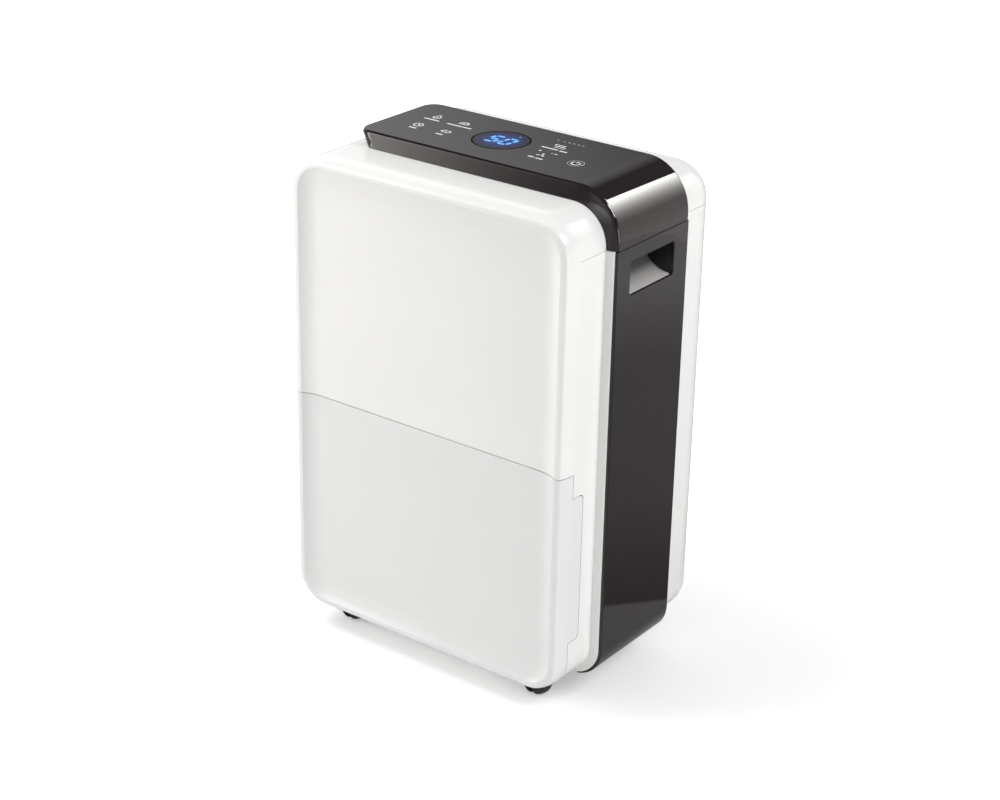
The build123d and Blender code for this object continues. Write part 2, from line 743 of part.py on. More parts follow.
band = fillet(ridge(band), BAND_EDGE)
cavity_front = BAND_FRONT + END_WALL
cavity_rear = BAND_REAR - END_WALL
cavity = prism(band_wire(BAND_WALL, cavity_front), cavity_rear - cavity_front) & right_of(-TONGUE_JOIN)
lean = (TONGUE_END - TONGUE_FOOT) * (1 - BAND_WALL / BAND_RISE_TOP)
cavity = cavity + loft([
    tongue_face(SHELL_TOP, TONGUE_FOOT - TONGUE_WALL, cavity_front, cavity_rear, TONGUE_FOOT_R - TONGUE_WALL),
    tongue_face(
        HEIGHT - BAND_WALL, TONGUE_FOOT + lean - TONGUE_WALL, cavity_front, cavity_rear,
        TONGUE_R - TONGUE_WALL)], ruled=True)
control_panel = band - cavity - outer
control_panel = control_panel - rod_z(
    LENS_D / 2 + LENS_GAP, 0, BAND_MID, SHELL_TOP, HEIGHT + OVER)
save(control_panel, "control_panel")

# Display: lens flush in the skin, housing under it, board on posts
board_top = post_top + BOARD_THICK
housing_r = LENS_D / 2 - HOUSING_INSET
save(rod_z(LENS_D / 2, 0, BAND_MID, HEIGHT - BAND_WALL, HEIGHT), "display_lens")
housing = rod_z(housing_r, 0, BAND_MID, board_top, HEIGHT - BAND_WALL)
housing = housing - rod_z(
    housing_r - HOUSING_WALL, 0, BAND_MID, board_top + HOUSING_WALL, HEIGHT)
save(housing, "display_housing")
display_board = block(
    -DISPLAY_BOARD_HALF, DISPLAY_BOARD_HALF,
    BAND_MID - DISPLAY_BOARD_REACH, BAND_MID + DISPLAY_BOARD_REACH, post_top, board_top)
save(display_board, "display_board")

# Side panels with handle openings, outlet in the left one
panel_y0 = BAND_FRONT - BAND_DRAFT / 2
panel_length = BAND_LENGTH + BAND_DRAFT


def side_panel(wire):
    stock = prism(wire(0, panel_y0), panel_length)
    ends = stock.faces().sort_by(Axis.Y)
    stock = fillet(ends[0].edges() + ends[-1].edges(), PANEL_EDGE)
    return stock - prism(wire(BAND_WALL, panel_y0), panel_length)


cup_mid = (CUP_BOTTOM + CUP_TOP) / 2
cup_plane = Plane(
    origin=(X_SKIN - OVER, CUP_CENTRE_Y, cup_mid), x_dir=(0, 1, 0), z_dir=(1, 0, 0))
cup_mouth = extrude(
    cup_plane * RectangleRounded(CUP_LENGTH, CUP_HEIGHT, CUP_R), amount=BAND_WALL + 2 * OVER)
side_panel_right = side_panel(band_wire) & below(PANEL_TOP) & right_of(HALF - BAND_HOOK)
save(side_panel_right - cup_mouth, "side_panel_right")

outlet_low = DUCT_LOW + SCROLL_WALL + OUTLET_LAP
outlet_high = DUCT_HIGH - SCROLL_WALL - OUTLET_LAP
outlet_y0 = SCROLL_FRONT + SCROLL_WALL + OUTLET_LAP
outlet_y1 = ORIFICE_FRONT - 2 * OUTLET_LAP
outlet_hole = block(
    -HALF - OVER, -X_SKIN + OVER, outlet_y0, outlet_y1, outlet_low, outlet_high)
case_ends = between_y(FRONT, FLANGE_FRONT + FLANGE) + between_y(FLANGE_REAR - FLANGE, REAR)
side_panel_left = (side_panel(left_wire) & left_of(BAND_HOOK - HALF)) - (outer & case_ends)
side_panel_left = side_panel_left - mirror(cup_mouth, about=Plane.YZ) - outlet_hole
save(side_panel_left, "side_panel_left")

outlet_grille = block(
    -HALF + OUTLET_INSET, -X_SKIN, outlet_y0, outlet_y1, outlet_low, outlet_high)
outlet_step = (outlet_high - outlet_low - OUTLET_BORDER) / OUTLET_ROWS
for i in range(OUTLET_ROWS):
    z_mid = outlet_low + OUTLET_BORDER / 2 + outlet_step * (i + 0.5)
    window = block(
        -HALF - OVER, -X_SKIN + OVER, outlet_y0 + OUTLET_BORDER, outlet_y1 - OUTLET_BORDER,
        z_mid - OUTLET_SLOT / 2, z_mid + OUTLET_SLOT / 2)
    outlet_grille = outlet_grille - window
save(outlet_grille, "outlet_grille")

# Handle cup: a scoop floor, a back wall and finger room behind the upper lip
x_deep = X_SKIN - CUP_DEPTH
scoop_top = CUP_BOTTOM + CUP_DEPTH
lip = CUP_TOP + CUP_LIP
cup_profile = make_face([
    arc((X_SKIN, CUP_BOTTOM), (X_SKIN, scoop_top), CUP_DEPTH, 225, (x_deep, scoop_top)),
    Line((x_deep, scoop_top), (x_deep, lip)),
    Line((x_deep, lip), (X_SKIN, lip)),
    Line((X_SKIN, lip), (X_SKIN, CUP_BOTTOM)),
])
cup_stock = offset(cup_profile, amount=WALL, kind=Kind.INTERSECTION)
cup_at = Plane(
    origin=(0, CUP_CENTRE_Y + CUP_LENGTH / 2, 0), x_dir=(1, 0, 0), z_dir=(0, -1, 0))
cup = extrude(cup_at.offset(-WALL) * cup_stock, amount=CUP_LENGTH + 2 * WALL)
cup = cup - extrude(cup_at * cup_profile, amount=CUP_LENGTH)
cup = cup & block(0, X_SKIN, FRONT, REAR, 0, HEIGHT)
save(cup, "handle_cup_right")
cup_room = prism(left_wire(BAND_WALL, panel_y0), panel_length)
save(mirror(cup, about=Plane.YZ) & cup_room, "handle_cup_left")

# Base pan: plate on the case bottoms, caster wells, bucket rails, plinth and rear upstand
pan_front = PARTING + SHELF_GAP
plinth_half = COMPRESSOR_R + PLINTH_MARGIN
base_pan = block(-SHELL_HALF, SHELL_HALF, pan_front, REAR_IN, BASE_LOW, BASE_TOP)
base_pan = base_pan + block(
    COMPRESSOR_X - plinth_half, COMPRESSOR_X + plinth_half, BULKHEAD_REAR + PLINTH_GAP,
    REAR_IN - UPSTAND_THICK + OVER, BASE_LOW, PLINTH_TOP)
base_pan = base_pan + block(
    -UPSTAND_HALF, UPSTAND_HALF, REAR_IN - UPSTAND_THICK, REAR_IN, BASE_LOW, BASE_TOP + UPSTAND)
for rx in (-BUCKET_RAIL_X, BUCKET_RAIL_X):
    base_pan = base_pan + block(
        rx - BUCKET_RAIL_WIDTH / 2, rx + BUCKET_RAIL_WIDTH / 2, pan_front, TANK_REAR,
        BASE_LOW, TANK_BOTTOM - BUCKET_RAIL_GAP)
for wx, wy in WELLS.values():
    base_pan = base_pan + rod_z(WELL_R + WELL_WALL, wx, wy, BASE_LOW, WELL_TOP)
base_pan = base_pan & inner
yoke_low = 2 * WHEEL_R + YOKE_GAP
yoke_top = yoke_low + YOKE_PLATE
boss_high = WELL_TOP + BOSS_RISE
for wx, wy in WELLS.values():
    base_pan = base_pan - rod_z(WELL_R, wx, wy, 0, WELL_TOP - WELL_ROOF)
    base_pan = base_pan + rod_z(STEM_R + BOSS_WALL, wx, wy, yoke_top + SWIVEL_GAP, boss_high)
    base_pan = base_pan - rod_z(STEM_R + RUNNING, wx, wy, 0, boss_high - STEM_CAP)
for sx, sz in LOW_SCREWS:
    base_pan = base_pan - rod_y(SCREW_R, sx, REAR_IN - SCREW_DEPTH, REAR_IN + OVER, sz)
save(base_pan, "base_pan")

# Bulkhead, deck and the reed switch that senses the float
bulkhead = inner & between_y(BULKHEAD_FRONT, BULKHEAD_REAR) & above(BASE_TOP) & below(DECK_LOW)
save(bulkhead, "bulkhead")
reed_high = TANK_TOP - REED_DROP
reed_switch = block(
    -REED_HALF, REED_HALF, BULKHEAD_FRONT - REED_THICK, BULKHEAD_FRONT,
    reed_high - REED_HEIGHT, reed_high)
save(reed_switch, "reed_switch")

deck = inner & above(DECK_LOW) & below(DECK_TOP) & between_y(pan_front, REAR_IN)
deck = deck + block(
    DRAIN_X + LUG_SETBACK, UPSTAND_HALF, REAR_IN - LUG_THICK, REAR_IN,
    DECK_LOW - LUG_DEPTH, DECK_LOW + OVER)
deck_holes = [
    (SPOUT_R + DECK_FIT, 0, SPOUT_Y),
    (NIPPLE_R + DECK_FIT, DRAIN_X, NIPPLE_Y),
    (PIPE_HOLE, PIPE_X, CONDENSER_Y),
    (PIPE_HOLE, PIPE_X, EVAPORATOR_Y),
]
for radius, hx, hy in deck_holes:
    deck = deck - rod_z(radius, hx, hy, DECK_LOW - OVER, DECK_TOP + OVER)
for sx, sz in HIGH_SCREWS:
    deck = deck - rod_y(SCREW_R, sx, REAR_IN - SCREW_DEPTH, REAR_IN + OVER, sz)
save(deck, "deck")

# Drip tray with a channel and spout over the bucket, and a nipple for the drain
tray_y0 = ORIFICE_REAR + TRAY_GAP
tray_y1 = REAR_IN - TRAY_REAR_GAP
tray_half = COIL_HALF_WIDTH + TRAY_SIDE
tray_high = TRAY_FLOOR + TRAY_HEIGHT
channel_y0 = SPOUT_Y - CHANNEL_REACH
channel_in = CHANNEL_HALF - TRAY_WALL
tray = block(-tray_half, tray_half, tray_y0, tray_y1, DECK_TOP, tray_high)
tray = tray - block(
    TRAY_WALL - tray_half, tray_half - TRAY_WALL, tray_y0 + TRAY_WALL, tray_y1 - TRAY_WALL,
    TRAY_FLOOR, tray_high + OVER)
tray = tray + block(
    -CHANNEL_HALF, CHANNEL_HALF, channel_y0, tray_y0 + OVER, DECK_TOP, TRAY_FLOOR + CHANNEL_HEIGHT)
tray = tray - block(
    -channel_in, channel_in, channel_y0 + TRAY_WALL, tray_y0 + TRAY_WALL + OVER,
    TRAY_FLOOR, tray_high + OVER)
spout_low = TANK_TOP + SPOUT_RISE
tray = tray + rod_z(SPOUT_R, 0, SPOUT_Y, spout_low, DECK_TOP)
tray = tray - rod_z(SPOUT_BORE, 0, SPOUT_Y, spout_low - OVER, tray_high)
nipple_low = DECK_LOW - NIPPLE_LENGTH
tray = tray + rod_z(NIPPLE_R, DRAIN_X, NIPPLE_Y, nipple_low, DECK_TOP)
tray = tray - rod_z(NIPPLE_BORE, DRAIN_X, NIPPLE_Y, nipple_low - OVER, TRAY_FLOOR + OVER)
save(tray, "drip_tray")

# Drain spigot in its recess, with a pull-out plug
spigot_end = REAR_IN - SPIGOT_SETBACK
spigot = pipe(
    [(DRAIN_X, NIPPLE_Y, DECK_LOW - NIPPLE_LENGTH / 2), (DRAIN_X, NIPPLE_Y, DRAIN_Z),
     (DRAIN_X, spigot_end, DRAIN_Z)],
    SPIGOT_BEND, SPIGOT_R, SPIGOT_BORE)
collar = rod_y(SPIGOT_R + COLLAR, DRAIN_X, RECESS_FLOOR, RECESS_FLOOR + WALL, DRAIN_Z)
collar = collar - rod_y(SPIGOT_BORE + OVER, DRAIN_X, RECESS_FLOOR - OVER, REAR, DRAIN_Z)
save(spigot + collar, "drain_spigot")
plug = rod_y(SPIGOT_R - OVER, DRAIN_X, spigot_end, REAR - OVER, DRAIN_Z)
plug = plug + rod_y(SPIGOT_BORE - RUNNING, DRAIN_X, spigot_end - PLUG_GRIP, spigot_end + OVER, DRAIN_Z)
save(plug, "drain_plug")

# Bucket: tank on the front, lid on the tank, float on two ears
tank_plane = Pos(0, (TANK_FRONT + TANK_REAR) / 2, TANK_BOTTOM)
tank_height = TANK_TOP - TANK_BOTTOM


def tank_solid(inset, height):
    shape = RectangleRounded(
        2 * (TANK_HALF_WIDTH - inset), TANK_DEPTH - 2 * inset, TANK_R - inset)
    return extrude(tank_plane * shape, amount=height)


tank = tank_solid(0, tank_height) - Pos(0, 0, TANK_WALL) * tank_solid(TANK_WALL, tank_height)
for ex in (-EAR_X, EAR_X):
    tank = tank + block(
        ex - EAR_THICK / 2, ex + EAR_THICK / 2, PIVOT_Y - EAR_REACH, TANK_REAR - TANK_WALL,
        PIVOT_Z - 2 * EAR_REACH, PIVOT_Z + EAR_REACH)
    tank = tank - rod_x(PIVOT_R + RUNNING, ex - EAR_THICK, ex + EAR_THICK, PIVOT_Y, PIVOT_Z)
save(tank, "bucket_tank")

skirt_inset = TANK_WALL + LID_FIT
skirt_height = LID_SKIRT + LID_FIT
skirt = tank_solid(skirt_inset, skirt_height) - tank_solid(skirt_inset + LID_WALL, skirt_height)
lid = Pos(0, 0, tank_height) * tank_solid(0, LID_THICK)
lid = lid + Pos(0, 0, tank_height - LID_SKIRT) * skirt
lid_low = TANK_TOP - LID_SKIRT - OVER
lid_high = TANK_TOP + LID_THICK + OVER
lid = lid - block(
    -INLET_HALF, INLET_HALF, SPOUT_Y - INLET_REACH, SPOUT_Y + INLET_REACH, lid_low, lid_high)
pour_x = TANK_HALF_WIDTH - POUR_SETBACK
pour_y = TANK_FRONT + POUR_FRONT
lid = lid - block(pour_x, pour_x + POUR_LENGTH, pour_y, pour_y + POUR_WIDTH, lid_low, lid_high)
save(lid, "bucket_lid")

ear_in = EAR_X - EAR_THICK / 2
barrel_end = ear_in - FLOAT_GAP
float_arm = rod_x(BARREL_R, -barrel_end, barrel_end, PIVOT_Y, PIVOT_Z)
float_arm = float_arm + rod_x(PIVOT_R, -EAR_X - EAR_THICK / 2, EAR_X + EAR_THICK / 2, PIVOT_Y, PIVOT_Z)
float_arm = float_arm + block(
    -ARM_HALF, ARM_HALF, PIVOT_Y - ARM_LENGTH - OVER, PIVOT_Y,
    PIVOT_Z - ARM_HALF / 2, PIVOT_Z + ARM_HALF / 2)
float_arm = float_arm + block(
    -FLOAT_HALF, FLOAT_HALF, PIVOT_Y - ARM_LENGTH - FLOAT_LENGTH, PIVOT_Y - ARM_LENGTH,
    PIVOT_Z - FLOAT_LOW, PIVOT_Z + FLOAT_HIGH)
magnet_y = PIVOT_Y + ARM_HALF - OVER
float_arm = float_arm + block(
    -BARREL_R, BARREL_R, PIVOT_Y, magnet_y, PIVOT_Z - BARREL_R, PIVOT_Z + BARREL_R)
save(float_arm, "float_arm")
save(rod_y(MAGNET_R, 0, magnet_y, magnet_y + MAGNET_THICK, PIVOT_Z), "float_magnet")

# Filter: frame with ribs and a fine sheet between its halves
filter_low = rail_low + RAIL_FLOOR + RAIL_FIT
filter_high = SHELL_TOP - FILTER_DROP
cell_x = (2 * FILTER_HALF_WIDTH - FILTER_BORDER) / FILTER_COLUMNS
cell_z = (filter_high - filter_low - FILTER_BORDER) / FILTER_ROWS
filter_frame = block(
    -FILTER_HALF_WIDTH, FILTER_HALF_WIDTH, FILTER_Y - FILTER_THICK / 2, FILTER_Y + FILTER_THICK / 2,
    filter_low, filter_high)
for i in range(FILTER_COLUMNS):
    for j in range(FILTER_ROWS):
        x0 = FILTER_BORDER - FILTER_HALF_WIDTH + cell_x * i
        z0 = filter_low + FILTER_BORDER + cell_z * j
        filter_frame = filter_frame - block(
            x0, x0 + cell_x - FILTER_BORDER, FILTER_Y - FILTER_THICK, FILTER_Y + FILTER_THICK,
            z0, z0 + cell_z - FILTER_BORDER)
filter_frame = filter_frame + block(
    -FILTER_GRIP_HALF, FILTER_GRIP_HALF, FILTER_Y - FILTER_THICK / 2, FILTER_Y,
    filter_high - OVER, filter_high + FILTER_GRIP)
sheet = block(
    SHEET_LAP - FILTER_HALF_WIDTH, FILTER_HALF_WIDTH - SHEET_LAP,
    FILTER_Y - SHEET_THICK / 2, FILTER_Y + SHEET_THICK / 2,
    filter_low + SHEET_LAP, filter_high - SHEET_LAP)
save(filter_frame - sheet, "filter_frame")
save(sheet, "filter_mesh")


# Coils: a serpentine tube through a pack of fins with collars, both packs held by two end plates
def serpentine(y):
    edges = []
    bend = COIL_PITCH / 2
    run = COIL_HALF_WIDTH + TUBE_RUN
    last = COIL_PASSES - 1
    for i, z in enumerate(COIL_LEVELS):
        side = -1 if i % 2 else 1
        x_start = TUBE_END if i == 0 else side * run
        x_end = TUBE_END if i == last else -side * run
        edges.append(Line((x_start, y, z), (x_end, y, z)))
        if i < last:
            tip = -side * (run + bend)
            edges.append(ThreePointArc(
                (x_end, y, z), (tip, y, z + bend), (x_end, y, z + COIL_PITCH)))
    return Wire(edges)


def coil_tube(y):
    path = serpentine(y)
    start = Plane(origin=path @ 0, z_dir=path % 0)
    return sweep(start * (Circle(TUBE_R) - Circle(TUBE_BORE)), path=path)


def coil_fins(y):
    z0 = COIL_LOW - FIN_MARGIN
    z1 = COIL_HIGH + FIN_MARGIN
    step = (2 * COIL_HALF_WIDTH - FIN_THICK) / (FIN_COUNT - 1)
    plates = []
    for i in range(FIN_COUNT):
        x0 = -COIL_HALF_WIDTH + step * i
        plates.append(block(x0, x0 + FIN_THICK, y - FIN_DEPTH / 2, y + FIN_DEPTH / 2, z0, z1))
    collars = [rod_x(TUBE_R + FIN_THICK, -COIL_HALF_WIDTH, COIL_HALF_WIDTH, y, z) for z in COIL_LEVELS]
    bores = [rod_x(TUBE_R, -TUBE_END, TUBE_END, y, z) for z in COIL_LEVELS]
    return plates[0] + plates[1:] + collars - bores


save(coil_tube(EVAPORATOR_Y), "evaporator_tubes")
save(coil_fins(EVAPORATOR_Y), "evaporator_fins")
save(coil_tube(CONDENSER_Y), "condenser_tubes")
save(coil_fins(CONDENSER_Y), "condenser_fins")

end_plate = block(
    COIL_HALF_WIDTH, COIL_HALF_WIDTH + END_PLATE, CONDENSER_Y - FIN_DEPTH / 2 - OVER,
    EVAPORATOR_Y + FIN_DEPTH / 2 + OVER, TRAY_FLOOR, COIL_HIGH + END_PLATE_RISE)
for cy in (CONDENSER_Y, EVAPORATOR_Y):
    for z in COIL_LEVELS:
        end_plate = end_plate - rod_x(TUBE_R, 0, TUBE_END, cy, z)
save(Compound(children=[end_plate, mirror(end_plate, about=Plane.YZ)]), "coil_end_plates")

# Compressor on grommets, with its accumulator
foot_low = PLINTH_TOP + GROMMET_HEIGHT
can_low = foot_low + FOOT_THICK
can_high = DECK_LOW - COMPRESSOR_HEADROOM
stub_top = can_high + STUB_RISE
lobes = []
for a in (30, 150, 270):
    reach = COMPRESSOR_R + LOBE_REACH
    lx = COMPRESSOR_X + reach * math.cos(math.radians(a))
    ly = COMPRESSOR_Y + reach * math.sin(math.radians(a))
    lobes.append((lx, ly))
can = rod_z(COMPRESSOR_R, COMPRESSOR_X, COMPRESSOR_Y, can_low, can_high)
can = fillet(can.edges().filter_by(GeomType.CIRCLE), COMPRESSOR_EDGE)
foot_edges = []
for lx, ly in lobes:
    foot_edges = foot_edges + (Pos(lx, ly, foot_low) * Circle(LOBE_R)).edges()
foot = extrude(make_hull(foot_edges), amount=FOOT_THICK, dir=(0, 0, 1))
for lx, ly in lobes:
    foot = foot - rod_z(GROMMET_BORE, lx, ly, foot_low - OVER, can_low + OVER)
tank_x = COMPRESSOR_X + COMPRESSOR_R + ACCUMULATOR_SIDE
tank_low = can_low + ACCUMULATOR_RISE
tank_high = can_high - ACCUMULATOR_DROP
elbow_z = can_low + ELBOW_RISE
accumulator = rod_z(ACCUMULATOR_R, tank_x, COMPRESSOR_Y, tank_low, tank_high)
accumulator = fillet(accumulator.edges().filter_by(GeomType.CIRCLE), ACCUMULATOR_EDGE)
elbow = pipe(
    [(tank_x, COMPRESSOR_Y, tank_low + ELBOW_BORE), (tank_x, COMPRESSOR_Y, elbow_z),
     (COMPRESSOR_X + COMPRESSOR_R - ELBOW_BORE, COMPRESSOR_Y, elbow_z)],
    ELBOW_BEND, ELBOW_R, ELBOW_BORE)
stub = rod_z(STUB_R, COMPRESSOR_X, COMPRESSOR_Y, can_high - OVER, stub_top)
save(can + foot + accumulator + elbow + stub, "compressor")

grommets = []
bolts = []
for lx, ly in lobes:
    grommet = rod_z(GROMMET_R, lx, ly, PLINTH_TOP, foot_low)
    grommets.append(grommet - rod_z(GROMMET_BORE, lx, ly, PLINTH_TOP - OVER, foot_low + OVER))
    bolt = rod_z(BOLT_R, lx, ly, PLINTH_TOP, can_low + BOLT_HEAD)
    hexagon = extrude(Pos(lx, ly, can_low) * RegularPolygon(BOLT_HEAD_R, 6), amount=BOLT_HEAD)
    bolts.append(bolt + hexagon)
save(Compound(children=grommets), "compressor_grommets")
save(Compound(children=bolts), "compressor_bolts")

# Refrigerant lines
discharge_z = stub_top + STUB_RISE
suction_z = discharge_z - LINE_STEP
discharge = pipe(
    [(COMPRESSOR_X, COMPRESSOR_Y, stub_top), (COMPRESSOR_X, COMPRESSOR_Y, discharge_z),
     (PIPE_X, CONDENSER_Y, discharge_z), (PIPE_X, CONDENSER_Y, COIL_HIGH),
     (TUBE_END, CONDENSER_Y, COIL_HIGH)], PIPE_BEND, TUBE_R, TUBE_BORE)
save(discharge, "discharge_pipe")
suction = pipe(
    [(TUBE_END, EVAPORATOR_Y, COIL_HIGH), (PIPE_X, EVAPORATOR_Y, COIL_HIGH),
     (PIPE_X, EVAPORATOR_Y, suction_z), (tank_x, COMPRESSOR_Y, suction_z),
     (tank_x, COMPRESSOR_Y, tank_high)], PIPE_BEND, TUBE_R, TUBE_BORE)
save(suction, "suction_pipe")
capillary_x = TUBE_END + CAPILLARY_REACH
capillary = pipe(
    [(TUBE_END, CONDENSER_Y, COIL_LOW), (capillary_x, CONDENSER_Y, COIL_LOW),
     (capillary_x, EVAPORATOR_Y, COIL_LOW), (TUBE_END, EVAPORATOR_Y, COIL_LOW)],
    CAPILLARY_BEND, CAPILLARY_R, CAPILLARY_BORE)
for cy in (CONDENSER_Y, EVAPORATOR_Y):
    swage = rod_x(TUBE_R, TUBE_END, TUBE_END + SWAGE, cy, COIL_LOW)
    capillary = capillary + (swage - rod_x(CAPILLARY_R, 0, capillary_x, cy, COIL_LOW))
save(capillary, "capillary_tube")

# Fan: orifice plate, scroll with side duct, wheel, shaft, motor and bracket
orifice_half = COIL_HALF_WIDTH + ORIFICE_SIDE
orifice = inner & block(
    -orifice_half, orifice_half, ORIFICE_FRONT, ORIFICE_REAR, DECK_TOP, SHELL_TOP - ORIFICE_HEADROOM)
orifice = orifice - rod_y(
    FAN_R - ORIFICE_LAP, FAN_X, ORIFICE_FRONT - OVER, ORIFICE_REAR + OVER, FAN_Z)
orifice = orifice - block(
    -CHANNEL_HALF, CHANNEL_HALF, ORIFICE_FRONT - OVER, ORIFICE_REAR + OVER,
    DECK_TOP, TRAY_FLOOR + CHANNEL_HEIGHT)
save(orifice, "fan_orifice")


def scroll_face(inset, reach):
    r1 = FAN_R + SCROLL_CLEAR - inset
    r2 = r1 + SCROLL_GROWTH
    r3 = r2 + SCROLL_GROWTH
    x_low = FAN_X - SCROLL_GROWTH
    z_side = FAN_Z - SCROLL_GROWTH
    low = z_side - r3
    high = DUCT_HIGH - inset
    tongue = FAN_X - r1 + TONGUE
    return make_face([
        arc((FAN_X - r1, FAN_Z), (FAN_X, FAN_Z), r1, 135, (FAN_X, FAN_Z + r1)),
        arc((FAN_X, FAN_Z + r1), (FAN_X, z_side), r2, 45, (FAN_X + r2, z_side)),
        arc((FAN_X + r2, z_side), (x_low, z_side), r3, -45, (x_low, low)),
        Line((x_low, low), (reach, low)),
        Line((reach, low), (reach, high)),
        Line((reach, high), (tongue, high)),
        Line((tongue, high), (FAN_X - r1, FAN_Z)),
    ])


scroll_at = Plane(origin=(0, ORIFICE_FRONT, 0), x_dir=(1, 0, 0), z_dir=(0, -1, 0))
scroll = extrude(scroll_at * scroll_face(0, -X_SKIN), amount=SCROLL_DEPTH)
scroll = scroll - extrude(
    scroll_at * scroll_face(SCROLL_WALL, -X_SKIN - OVER), amount=SCROLL_DEPTH - SCROLL_WALL)
scroll = scroll - rod_y(
    SCROLL_BORE, FAN_X, SCROLL_FRONT - OVER, SCROLL_FRONT + SCROLL_WALL + OVER, FAN_Z)
save(scroll, "fan_scroll")

wheel_front = SCROLL_FRONT + WHEEL_GAP
wheel_rear = wheel_front + FAN_WIDTH
wheel = rod_y(FAN_R, FAN_X, wheel_front, wheel_front + FAN_DISC, FAN_Z)
wheel = wheel + rod_y(FAN_HUB_R, FAN_X, wheel_front, wheel_front + HUB_WIDTH, FAN_Z)
end_ring = rod_y(FAN_R, FAN_X, wheel_rear - FAN_RING, wheel_rear, FAN_Z)
end_ring = end_ring - rod_y(
    FAN_R - END_RING, FAN_X, wheel_rear - FAN_RING - OVER, wheel_rear + OVER, FAN_Z)
blade_plane = Plane(origin=(FAN_X, wheel_rear - OVER, FAN_Z), x_dir=(1, 0, 0), z_dir=(0, -1, 0))
blades = []
for i in range(FAN_BLADES):
    spoke = Rot(0, 0, 360 * i / FAN_BLADES) * Pos(FAN_R - BLADE_INSET, 0) * Rot(0, 0, BLADE_ANGLE)
    blade = blade_plane * spoke * Rectangle(BLADE_CHORD, BLADE_THICK)
    blades.append(extrude(blade, amount=FAN_WIDTH - FAN_DISC))
wheel = wheel + end_ring + blades
wheel = wheel - rod_y(SHAFT_R, FAN_X, wheel_front - OVER, wheel_front + HUB_WIDTH + OVER, FAN_Z)
save(wheel, "fan_wheel")

motor_rear = SCROLL_FRONT - BRACKET_THICK
motor_front = motor_rear - MOTOR_LENGTH
shaft_seat = motor_rear - SHAFT_SEAT
save(rod_y(SHAFT_R, FAN_X, shaft_seat, wheel_front + SHAFT_REACH, FAN_Z), "motor_shaft")
motor = rod_y(MOTOR_R, FAN_X, motor_front, motor_rear, FAN_Z)
motor = fillet(motor.edges().filter_by(GeomType.CIRCLE).group_by(Axis.Y)[0], MOTOR_EDGE)
motor = motor - rod_y(SHAFT_R + RUNNING, FAN_X, shaft_seat - OVER, motor_rear + OVER, FAN_Z)
save(motor, "fan_motor")
bracket = rod_y(MOTOR_R + BRACKET_MARGIN, FAN_X, motor_rear, SCROLL_FRONT, FAN_Z)
bracket = bracket - rod_y(SCROLL_BORE, FAN_X, motor_rear - OVER, SCROLL_FRONT + OVER, FAN_Z)
save(bracket, "motor_bracket")

# Control box on the back of the bulkhead, board inside, capacitor beside the compressor
box_x0 = BOX_SIDE - SHELL_HALF
box_x1 = box_x0 + BOX_WIDTH
box_y1 = BULKHEAD_REAR + BOX_DEPTH
box_z0 = BASE_TOP + BOX_RISE
box_z1 = box_z0 + BOX_HEIGHT
board_y = BULKHEAD_REAR + BOX_BACK + BOARD_GAP
control_box = block(box_x0, box_x1, BULKHEAD_REAR, box_y1, box_z0, box_z1)
control_box = control_box - block(
    box_x0 + BOX_WALL, box_x1 - BOX_WALL, BULKHEAD_REAR + BOX_BACK, box_y1 + OVER,
    box_z0 + BOX_WALL, box_z1 - BOX_WALL)
for bx in (box_x0 + BOX_POST_INSET, box_x1 - BOX_POST_INSET):
    for bz in (box_z0 + BOX_POST_INSET, box_z1 - BOX_POST_INSET):
        control_box = control_box + rod_y(BOX_POST_R, bx, BULKHEAD_REAR + OVER, board_y, bz)
save(control_box, "control_box")
save(block(box_x0, box_x1, box_y1, box_y1 + BOX_COVER, box_z0, box_z1), "control_box_cover")
board_face = board_y + BOARD_THICK
main_board = block(
    box_x0 + 2 * BOX_WALL, box_x1 - 2 * BOX_WALL, board_y, board_face,
    box_z0 + 2 * BOX_WALL, box_z1 - 2 * BOX_WALL)
for part_x, part_z, part_width, part_height, part_rise in (TRANSFORMER, RELAY, TERMINALS):
    x0 = box_x0 + part_x
    z0 = box_z0 + part_z
    main_board = main_board + block(
        x0, x0 + part_width, board_y + OVER, board_face + part_rise, z0, z0 + part_height)
save(main_board, "main_board")
capacitor = rod_z(
    CAPACITOR_R, box_x1 - CAPACITOR_INSET, COMPRESSOR_Y + CAPACITOR_SETBACK,
    BASE_TOP, BASE_TOP + CAPACITOR_HEIGHT)
capacitor = fillet(capacitor.edges().filter_by(GeomType.CIRCLE).group_by(Axis.Z)[-1], CAPACITOR_EDGE)
save(capacitor, "run_capacitor")

gland = rod_y(GLAND_R, GLAND_X, REAR_IN - GLAND_FLANGE, REAR, GLAND_Z)
gland = gland + rod_y(GLAND_FLANGE_R, GLAND_X, REAR_IN - GLAND_FLANGE, REAR_IN, GLAND_Z)
gland = gland - rod_y(GLAND_BORE, GLAND_X, REAR_IN - GLAND_FLANGE - OVER, REAR + OVER, GLAND_Z)
save(gland, "cord_gland")

# Casters: yoke with stem and web, ball-shaped wheel pair on one axle
half_pair = WHEEL_WIDTH / 2
half_slot = WHEEL_SLOT / 2
half_dome = (half_pair + half_slot) / 2


def dome(x):
    return math.sqrt(WHEEL_R ** 2 - x ** 2)


